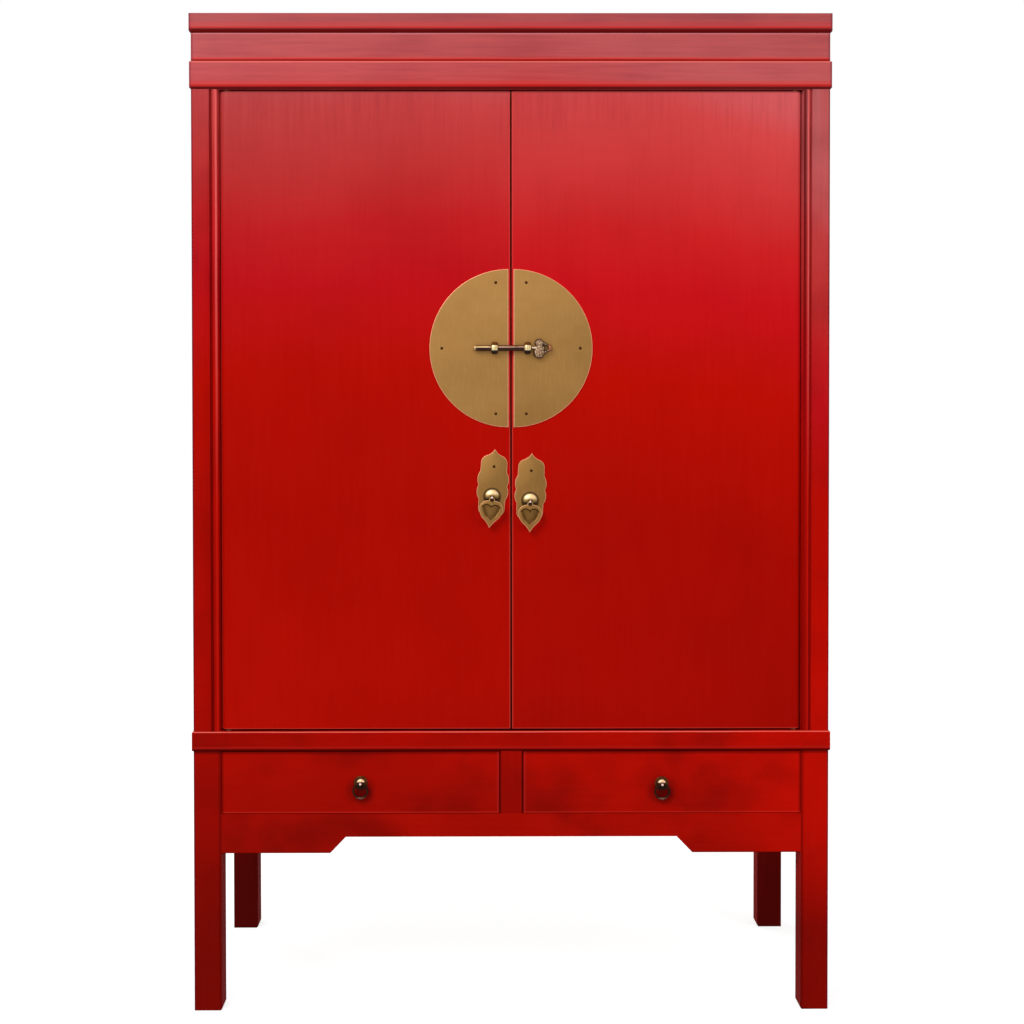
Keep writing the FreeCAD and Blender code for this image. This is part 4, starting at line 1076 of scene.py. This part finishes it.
class CABINET_OT_staples(Operator):
    """The two heavy staples of the lock."""

    bl_idname = "cabinet.staples"
    bl_label = "Staples"

    FLATTENED = 0.83  # depth of the eye, as a share of its height

    def execute(self, context):
        s = sizes()
        low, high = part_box("right_lock_staple")
        half = (high[0] - low[0]) / 2
        centre_z = middle_of((low, high))[2]
        r, hole = s.staple_radius, s.pin_radius + 0.3 * MM
        profile = ((-half, hole), (-half, r - 2.4 * MM), (-half + 0.8 * MM, r - 0.9 * MM),
                   (-half + 2.4 * MM, r), (half - 2.4 * MM, r), (half - 0.8 * MM, r - 0.9 * MM),
                   (half, r - 2.4 * MM), (half, hole))
        eye = lathed("staple_eye", profile, 48, "X")
        eye.scale.y = self.FLATTENED
        settle(eye)
        inside = high[1] - PIN_Y - 1.0 * MM
        shank = bar("staple_shank", (0, hole * 1.3, 0), (0, inside, 0), 3.0 * MM)
        foot = bar("staple_foot", (0, r - 0.6 * MM, 0), (0, r + 1.0 * MM, 0), 6.5 * MM)
        pattern = joined("staple", shank, foot, eye)
        smoothed(pattern, 50.0)
        finish = self.finish(centre_z, r)
        for side in SIDES:
            x = middle_of(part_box(side + "_lock_staple"))[0]
            piece = placed(pattern, side + "_staple", (x, PIN_Y, centre_z))
            dressed(piece, side + "_door", "antique_brass", [side + "_lock_staple"], finish)
        dropped(pattern)
        return {"FINISHED"}

    def finish(self, centre_z, radius):
        """Painted light on the eye: a bright highlight band across the front, painted shade brown
        above it and nearly black underneath.
        """
        paint = Paint("staple_brass")
        spot = paint.place()
        z = paint.parts(spot)[2]
        worn = paint.cloud(paint.moved(spot, (3, 1, 0.3)), 260.0, 3.0, 0.6)
        rise = (z - centre_z) / radius + (worn - 0.5) * 0.14
        off = abs(rise - 0.02)
        colour = paint.blend(worn.fade(0.40, 0.62), tint(196, 170, 112), tint(240, 222, 170))
        # Painted shade, nearly black below the band and brown above it
        painted_shade = paint.blend(rise.fade(-0.2, 0.2), tint(26, 8, 8), tint(96, 54, 12))
        colour = paint.blend(off.fade(0.34, 0.46), colour, painted_shade)
        colour = paint.blend(rise.fade(0.82, 0.95) * 0.7, colour, tint(150, 92, 30))
        return paint.metal(colour, 0.7, 0.36, worn, 0.08, 0.5 * MM)


class CABINET_OT_lock_pin(Operator):
    """The draw pin with its cast head."""

    bl_idname = "cabinet.lock_pin"
    bl_label = "Lock pin"

    # Cast head, in millimetres along its axis and above it: balls of (place, radius, scale), arms
    # of (start, bend, foot), and where the pin ends
    BALLS = (((52.2, 9.0), 8.2, (1.05, 0.5, 1)), ((52.2, -8.5), 10.9, (1, 0.44, 1)),
             ((52.8, 1.0), 7.6, (1, 0.52, 1)), ((56.6, -1.2), 7.0, (1, 0.5, 1)),
             ((73.0, 0.0), 6.2, (0.62, 0.6, 1)))
    ARMS = (((55.0, 12.0), (63.4, 7.6), (71.5, 3.0)), ((57.0, -10.0), (64.6, -7.2), (71.5, -3.2)))
    END = 77.0

    def execute(self, context):
        low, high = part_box("lock_pin")
        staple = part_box("right_lock_staple")
        axis_z = middle_of(staple)[2]
        r = sizes().pin_radius
        tip, first = low[0], staple[1][0] + 0.3 * MM
        neck = 1.7 * MM
        profile = [(tip, 0.0), (tip, r - 0.5 * MM), (tip + 0.5 * MM, r), (first, r),
                   (first + 0.5 * MM, neck)]
        for bead in (first + 2.8 * MM, first + 8.2 * MM):
            for share in (-0.9, -0.6, -0.2, 0.2, 0.6, 0.9):
                swell = 1.3 * MM * math.cos(share * math.pi / 2)
                profile.append((bead + share * 2.2 * MM, neck + swell))
        profile += [(first + 16.0 * MM, neck), (first + 16.0 * MM, 0.0)]
        shaft = lathed("pin_shaft", profile, 32, "X")
        shaft.location = (0.0, PIN_Y, axis_z)
        settle(shaft)
        smoothed(shaft, 50.0)
        head = self.head(high[0], axis_z)
        shaft_finish = self.shaft_finish(axis_z, r)
        take(shaft, head)
        bpy.ops.object.join()
        pin = added("lock_pin_brass")
        dressed(pin, "lock_pin", "antique_brass", ["lock_pin"], shaft_finish, self.head_finish())
        for face in pin.data.polygons:
            off = math.hypot(face.center.y - PIN_Y, face.center.z - axis_z)
            past = face.center.x - first
            cast = past > 10.8 * MM or (past > 3.0 * MM and off > 3.3 * MM)
            face.material_index = 1 if cast else 0
        return {"FINISHED"}

    def head(self, end, axis_z):
        """Cast head: grained lobes, an open window between two arms, and an oval knob."""
        def at(x, z):
            return (end + (x - self.END) * MM, PIN_Y, axis_z + z * MM)
        parts = [ball("lobe", at(*spot), radius * MM, scale) for spot, radius, scale in self.BALLS]
        for start, bend, foot in self.ARMS:
            parts.append(bar("arm", at(*start), at(*bend), 3.0 * MM, 12))
            parts.append(ball("bend", at(*bend), 3.1 * MM, sides=12))
            parts.append(bar("arm", at(*bend), at(*foot), 2.6 * MM, 12))
        head = joined("pin_head", *parts)
        changed(head, "REMESH", mode="VOXEL", voxel_size=0.5 * MM, use_smooth_shade=True)
        changed(head, "SMOOTH", factor=0.5, iterations=3)
        # Small cast pimples, on the lobes more than on the arms
        for point in head.data.vertices:
            share = 1.0 if point.co.x < at(61.0, 0)[0] else 0.4
            bumps = noise.noise(point.co * 560.0) * 0.5 + noise.noise(point.co * 1200.0) * 0.25
            point.co += point.normal * bumps * share * MM
        return head

    def head_finish(self):
        """Cream grains, bright in front, with painted shade dark round the sides, and a browner
        knob.
        """
        paint = Paint("pin_head_brass")
        spot = paint.place()
        x, y, _ = paint.parts(spot)
        grains = paint.cloud(spot, 620.0, 2.0, 0.6)
        deep = (y - PIN_Y) / MM
        colour = paint.blend(grains.fade(0.38, 0.54), tint(62, 38, 22), tint(158, 124, 92))
        colour = paint.blend(grains.fade(0.56, 0.68), colour, tint(232, 210, 178))
        # Painted shade on the sides and back of the head
        colour = paint.blend(deep.fade(-3.4, -1.8), colour, tint(46, 24, 14))
        knob = x.fade(68.5 * MM, 71.5 * MM)
        colour = paint.blend(knob * 0.8, colour, tint(152, 92, 60))
        return paint.metal(colour, 0.6, 0.46, grains, 0.2, 0.6 * MM, Specular_IOR_Level=0.2)

    def shaft_finish(self, axis_z, radius):
        """Shaft with a painted highlight along its top half, browner at its crown and in painted
        shade underneath, with painted highlights on its beads and a pale cut end.
        """
        paint = Paint("pin_shaft_brass")
        spot = paint.place()
        x, _, z = paint.parts(spot)
        worn = paint.cloud(paint.moved(spot, (0.25, 1, 1)), 320.0, 3.0, 0.6)
        rise = (z - axis_z) / radius + (worn - 0.5) * 0.3
        light = paint.blend(worn.fade(0.35, 0.65), tint(112, 80, 62), tint(152, 116, 92))
        light = paint.blend((1.0 - x.fade(-46.0 * MM, -36.0 * MM)) * 0.8, light, tint(174, 146, 98))
        # Painted highlight on the upper half and painted shade below
        colour = paint.blend(rise.fade(0.06, 0.28), tint(44, 16, 7), light)
        colour = paint.blend(rise.fade(0.55, 0.78) * 0.85, colour, tint(84, 48, 28))
        cut = 1.0 - x.fade(-68.0 * MM, -64.0 * MM)
        colour = paint.blend(cut * 0.6, colour, tint(206, 168, 110))
        # Painted highlights on the beads
        beads = x.fade(37.2 * MM, 38.4 * MM) * rise.fade(-0.35, -0.10)
        colour = paint.blend(beads * 0.85, colour, tint(236, 208, 184))
        return paint.metal(colour, 0.7, 0.36, worn, 0.08, 0.4 * MM)


# Half outlines as (via, end) of their arcs, in shares of half the width and of the height
PLATE_SPANS = (
    ((0.19, 0.895), (0.44, 0.826)),
    ((0.72, 0.752), (0.834, 0.652)),
    (None, (0.848, 0.377)),
    ((1.0, 0.2), (0.912, 0.0)),
)
PENDANT_SPANS = (
    ((0.18, -0.038), (0.25, 0.05)),
    ((0.72, 0.105), (1.0, 0.30)),
    ((0.9, 0.52), (0.5, 0.73)),
    ((0.2, 0.87), (0.0, 1.0)),
)
HEART_SPANS = (
    ((0.48, 0.0), (1.0, 0.18)),
    ((0.74, 0.56), (0.0, 1.0)),
)

# Place of each pull along x, lean of its plate and lean of its hanging pendant, in degrees
PULLS = {"left": (-35.7 * MM, 3.7, 5.3), "right": (35.6 * MM, 2.3, 1.0)}
EYE_BEHIND = 5.6 * MM  # from the front of a pull's eye to its middle


class CABINET_OT_pulls(Operator):
    """Door pulls: lobed plates, domed bosses with their eyes, and heart pendants."""

    bl_idname = "cabinet.pulls"
    bl_label = "Door pulls"

    def execute(self, context):
        s = sizes()
        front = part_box("right_pull_plate")[0][1]
        plate, boss, pendant = self.plate(s, front), self.boss(s), self.pendant(s)
        rim = brass_rim("pull_rim")
        shaded_hollow = self.shaded_hollow()
        for side in SIDES:
            x, lean, hang = PULLS[side]
            low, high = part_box(side + "_pull_boss")
            z = middle_of((low, high))[2]

            piece = placed(plate, side + "_pull_plate_brass", (x, 0.0, z), lean)
            # Painted shadow ring round the boss, and a soft painted shadow on the plate behind the
            # pendant's heart
            behind = (x - 27.0 * MM * math.sin(math.radians(hang)), z - 24.0 * MM, 16.0 * MM)
            sheet = brass_sheet("pull_brass_" + side, ((x, z, s.boss_radius),), (behind,))
            dressed(smoothed(piece, 25.0), side + "_door", "brass", [side + "_pull_plate"],
                    sheet, rim)
            rim_painted(piece)

            piece = placed(boss, side + "_pull_boss_brass", (x, front, z), lean)
            dome = domed("boss_brass_" + side, x, z, s.boss_radius)
            eye = eye_painted_light("eye_brass_" + side, z, 6.1 * MM)
            dressed(piece, side + "_door", "brass", [side + "_pull_boss"], dome, eye)
            for face in piece.data.polygons:
                face.material_index = 1 if face.center.y < front - 6.2 * MM else 0

            piece = placed(pendant, side + "_pendant_brass", (x, low[1] + EYE_BEHIND, z), hang)
            # Painted shade round the pendant's hole, and a painted highlight on its rim, mostly low
            # down
            sheet = brass_sheet("pendant_brass_" + side, ((x, z - 5.4 * MM, 2.0 * MM),))
            tipped = brass_rim("pendant_rim_" + side, z - 36.0 * MM)
            dressed(smoothed(piece, 35.0), side + "_pendant", "brass", [side + "_pendant"],
                    sheet, tipped, shaded_hollow)
            rim_painted(piece)
            self.heart_painted(piece, x, z - 26.0 * MM)
        dropped(plate, boss, pendant)
        return {"FINISHED"}

    def heart_painted(self, piece, x, z):
        """Give the heart's own rim painted shade above and the sheet's brass below."""
        for face in piece.data.polygons:
            across, up = face.center.x - x, face.center.z - z
            if face.material_index and face.normal.x * across + face.normal.z * up < 0:
                face.material_index = 2 if face.normal.z < -0.05 else 0

    def shaded_hollow(self):
        """Nearly black painted shade under the heart's lobes."""
        paint = Paint("pendant_hollow")
        worn = paint.cloud(paint.place(), 400.0, 3.0, 0.6)
        colour = paint.blend(worn, tint(30, 14, 3), tint(66, 40, 12))
        return paint.surface(Base_Color=colour, Metallic=0.3, Roughness=0.7,
                             Specular_IOR_Level=0.05)

    def plate(self, s, front):
        """Lobed plate; its boss stands on the origin of the front plane."""
        rise = 89.5 * MM - s.plate_height / 2
        quarter = traced((0.0, 1.0), PLATE_SPANS, s.plate_width / 2, s.plate_height / 2)
        half = quarter + [(x, -z) for x, z in reversed(quarter[:-1])]
        outline = [(x, z + rise) for x, z in mirrored_outline(half)]
        plate = slab("pull_plate", outline, front + s.sheet, front)
        return rims_bevelled(plate, front, 0.85 * MM)

    def boss(self, s):
        """Dome with a rolled foot and the split pin whose eye stands in front of it."""
        r, rise, roll = s.boss_radius, 6.0 * MM, 1.1 * MM
        profile = [(0.0, 0.0), (0.0, r), (-0.7 * MM, r), (-roll, r - 0.7 * MM)]
        dome = lathed("boss_dome", profile + dome_profile(-roll, rise - roll, r - 0.9 * MM, 8), 48)
        eye_y = -(rise + 0.4 * MM + EYE_BEHIND)
        eye = hoop("boss_eye", 4.4 * MM, 1.7 * MM, 40, 14, (0.0, math.pi / 2, 0.0), eye_y)
        shank = bar("boss_shank", (0.0, eye_y + 4.0 * MM, 0.0), (0.0, 18.0 * MM, 0.0), 1.9 * MM)
        boss = joined("pull_boss", dome, shank, eye)
        return smoothed(boss, 45.0)

    def pendant(self, s):
        """Pear-shaped pendant with a heart cut-out; its hole hangs 4.4 mm below the origin."""
        thickness = 2.4 * MM
        front = -thickness / 2
        half = traced((0.0, -0.0685), PENDANT_SPANS, s.pendant_width / 2, -s.pendant_drop)
        body = slab("pendant", mirrored_outline(half), -front, front)
        rims_bevelled(body, front, 0.95 * MM)
        top, tip, width = 11.3 * MM, 40.2 * MM, 31.0 * MM
        heart = traced((0.0, 0.22), HEART_SPANS, width / 2, -(tip - top))
        heart = [(x, z - top) for x, z in heart]
        cut_by(body, slab("heart", mirrored_outline(heart), thickness, -thickness))
        middle, reach = top + 8.0 * MM, 18.5 * MM

        def heart_rim(point):
            return (on_plane(point, front) and -tip + 5.0 * MM < point.z < -top + 1.0 * MM
                    and math.hypot(point.x, point.z + middle) < reach)
        pick_edges(body, lambda a, b: heart_rim(a) and heart_rim(b))
        bpy.ops.mesh.bevel(offset=2.0 * MM, segments=2, affect="EDGES")
        bpy.ops.object.mode_set(mode="OBJECT")
        cut_by(body, bar("hole", (0.0, -thickness, 0.0), (0.0, thickness, 0.0), 2.3 * MM))
        body.location.z = -4.4 * MM
        return settle(body)


class CABINET_OT_drawer_rings(Operator):
    """Roses and rings of the drawers."""

    bl_idname = "cabinet.drawer_rings"
    bl_label = "Drawer rings"

    EYE_OUT = 10.3 * MM  # from a drawer's front to the middle of its eye

    def execute(self, context):
        rose = self.rose()
        ring = self.ring(sizes())
        for side in SIDES:
            x, _, z = middle_of(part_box(side + "_drawer_rose"))
            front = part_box(side + "_drawer_front")[0][1]
            piece = placed(rose, side + "_rose_brass", (x, front, z))
            dressed(piece, side + "_drawer", "antique_brass", [side + "_drawer_rose"],
                    self.rose_finish(side, x, z))
            piece = placed(ring, side + "_ring_brass", (x, front - self.EYE_OUT, z))
            dressed(piece, side + "_drawer_ring", "antique_brass", [side + "_drawer_ring"],
                    self.ring_finish(side, z))
        dropped(rose, ring)
        return {"FINISHED"}

    def rose(self):
        """Round plate, dome and a heavy eye on its split pin."""
        profile = [(0.0, 0.0), (0.0, 13.0 * MM), (-0.9 * MM, 13.0 * MM), (-1.5 * MM, 12.3 * MM),
                   (-1.5 * MM, 8.6 * MM), (-2.1 * MM, 8.0 * MM)]
        profile += dome_profile(-2.1 * MM, 3.9 * MM, 7.8 * MM, 7)
        plate = lathed("rose_plate", profile, 40)
        half, r, hole, corner = 2.75 * MM, 4.3 * MM, 2.5 * MM, 1.3 * MM
        eye = lathed("rose_eye", ((-half, hole), (-half, r - corner), (-half + corner, r),
                                  (half - corner, r), (half, r - corner), (half, hole)), 32, "X")
        eye.location.y = -self.EYE_OUT
        settle(eye)
        inner = 3.6 * MM - self.EYE_OUT
        shank = bar("rose_shank", (0.0, inner, 0.0), (0.0, 18.0 * MM, 0.0), 1.9 * MM)
        return smoothed(joined("rose", plate, shank, eye), 45.0)

    def ring(self, s):
        """Ring with a bead at its foot between two swellings."""
        ring = hoop("ring", s.ring_radius, s.ring_wire, 72, 16, (math.pi / 2, 0.0, 0.0))
        for point in ring.data.vertices:
            turn = math.degrees(math.atan2(point.co.x, -point.co.z))
            centre = Vector((point.co.x, 0.0, point.co.z)).normalized() * s.ring_radius
            swellings = 0.26 * math.exp(-((abs(turn) - 24.0) / 4.5) ** 2)
            bead = 0.46 * math.exp(-(turn / 7.0) ** 2)
            point.co = centre + (point.co - centre) * (1.0 + swellings + bead)
        ring.location.z = -s.ring_radius
        return smoothed(settle(ring), 60.0)

    def ring_finish(self, side, z0):
        """Nearly black ring with painted pinkish grey highlights at its foot."""
        paint = Paint("ring_brass_" + side)
        spot = paint.place()
        z = paint.parts(spot)[2]
        worn = paint.cloud(spot, 300.0, 3.0, 0.6)
        foot = 1.0 - (z + (worn - 0.5) * (6.0 * MM)).fade(z0 - 27.5 * MM, z0 - 23.5 * MM)
        colour = paint.blend(worn.fade(0.35, 0.70), tint(22, 9, 3), tint(62, 32, 12))
        colour = paint.blend(foot * worn.fade(0.35, 0.60) * 0.8, colour, tint(168, 132, 112))
        return paint.metal(colour, 0.5, 0.40, worn, 0.1, 0.4 * MM, Specular_IOR_Level=0.1)

    def rose_finish(self, side, x0, z0):
        """Dark plate with a painted peach highlight crescent on the dome above its middle."""
        paint = Paint("rose_brass_" + side)
        spot = paint.place()
        x, y, z = paint.parts(spot)
        worn = paint.cloud(spot, 260.0, 3.0, 0.6)
        up = z - z0
        off = apart(x, z, x0, z0) + (worn - 0.5) * (1.2 * MM)
        crescent = off.fade(3.2 * MM, 4.4 * MM) * (1.0 - off.fade(7.2 * MM, 8.2 * MM))
        crescent = crescent * up.fade(0.6 * MM, 3.4 * MM)
        colour = paint.blend(worn.fade(0.3, 0.7), tint(54, 26, 6), tint(98, 50, 14))
        colour = paint.blend(1.0 - off.fade(7.4 * MM, 8.6 * MM), colour, tint(44, 20, 6))
        colour = paint.blend(crescent, colour, tint(252, 208, 164))

        # Light on the very front of the eye, and shade below the middle
        dot = (1.0 - off.fade(1.6 * MM, 2.6 * MM)) * (0.0 - y).fade(283.0 * MM, 283.6 * MM)
        colour = paint.blend(dot * 0.9, colour, tint(246, 214, 200))
        colour = paint.blend((1.0 - up.fade(-5.0 * MM, -2.0 * MM)) * 0.8, colour, tint(26, 10, 4))
        return paint.metal(colour, 0.5, 0.38, worn, 0.1, 0.4 * MM, Specular_IOR_Level=0.1)


class CABINET_OT_nails(Operator):
    """Small dark nails that hold the plates."""

    bl_idname = "cabinet.nails"
    bl_label = "Nails"

    # Degrees round the moon plate, and millimetres in from its edge and above a pull's boss
    TURNS = (-79.0, 0.0, 79.0)
    FROM_EDGE, ABOVE_BOSS = 23.0, 56.5

    def execute(self, context):
        s = sizes()
        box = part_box("right_moon_plate")
        front, middle = box[0][1], middle_of(box)[2]
        nail = self.nail(s.nail_radius)
        finish = self.finish()
        reach = s.moon_radius - self.FROM_EDGE * MM
        for side, sign in SIDES.items():
            spots = []
            for turn in map(math.radians, self.TURNS):
                spots.append((sign * (s.moon_inset + reach * math.cos(turn)),
                              middle + reach * math.sin(turn)))
            x, lean, _ = PULLS[side]
            z = middle_of(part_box(side + "_pull_boss"))[2]
            rise, turn = self.ABOVE_BOSS * MM, math.radians(lean)
            spots.append((x + rise * math.sin(turn), z + rise * math.cos(turn)))
            heads = [placed(nail, side + "_nail", (x, front, z)) for x, z in spots]
            piece = joined(side + "_nails_brass", *heads)
            dressed(smoothed(piece, 50.0), side + "_door", "brass", [side + "_door_nails"], finish)
        dropped(nail)
        return {"FINISHED"}

    def finish(self):
        """Brown brass with rubbed spots."""
        paint = Paint("nail_brass")
        worn = paint.cloud(paint.place(), 500.0, 3.0, 0.6)
        colour = paint.blend(worn.fade(0.55, 0.80) * 0.5, tint(56, 30, 8), tint(140, 96, 44))
        return paint.metal(colour, 0.92, 0.45, worn, 0.15, 0.4 * MM)

    def nail(self, r):
        """Nail with a low domed head, whose shank reaches into the door."""
        profile = ((16.0 * MM, 0.0), (14.0 * MM, 1.2 * MM), (0.0, 1.2 * MM), (0.0, r),
                   (-0.35 * MM, r), (-0.8 * MM, r * 0.82), (-1.1 * MM, r * 0.5), (-1.2 * MM, 0.0))
        return lathed("nail", profile, 24)


CLASSES = (
    CabinetColours, HardwareSizes, CABINET_OT_stage, CABINET_OT_lacquer, CABINET_OT_plain_wood,
    CABINET_OT_moon_plates, CABINET_OT_staples, CABINET_OT_lock_pin, CABINET_OT_pulls,
    CABINET_OT_drawer_rings, CABINET_OT_nails,
)
STEPS = ("stage", "lacquer", "plain_wood", "moon_plates", "staples", "lock_pin", "pulls",
         "drawer_rings", "nails")


class CABINET_PT_sidebar(Panel):
    """The steps that dress the cabinet."""

    bl_label = "Wedding cabinet"
    bl_idname = "CABINET_PT_sidebar"
    bl_space_type = "VIEW_3D"
    bl_region_type = "UI"
    bl_category = "Cabinet"

    def draw(self, context):
        for step in STEPS:
            self.layout.operator("cabinet." + step)
        for settings in (context.scene.cabinet_hardware, context.scene.cabinet_colours):
            for key in settings.bl_rna.properties.keys():
                if key not in ("rna_type", "name"):
                    self.layout.prop(settings, key)


def register():
    for kind in CLASSES + (CABINET_PT_sidebar,):
        bpy.utils.register_class(kind)
    bpy.types.Scene.cabinet_colours = PointerProperty(type=CabinetColours)
    bpy.types.Scene.cabinet_hardware = PointerProperty(type=HardwareSizes)


def unregister():
    del bpy.types.Scene.cabinet_hardware
    del bpy.types.Scene.cabinet_colours
    for kind in reversed(CLASSES + (CABINET_PT_sidebar,)):
        bpy.utils.unregister_class(kind)


def main():
    """Dress the cabinet."""
    register()
    for step in STEPS:
        getattr(bpy.ops.cabinet, step)()


if __name__ == "__main__":
    main()
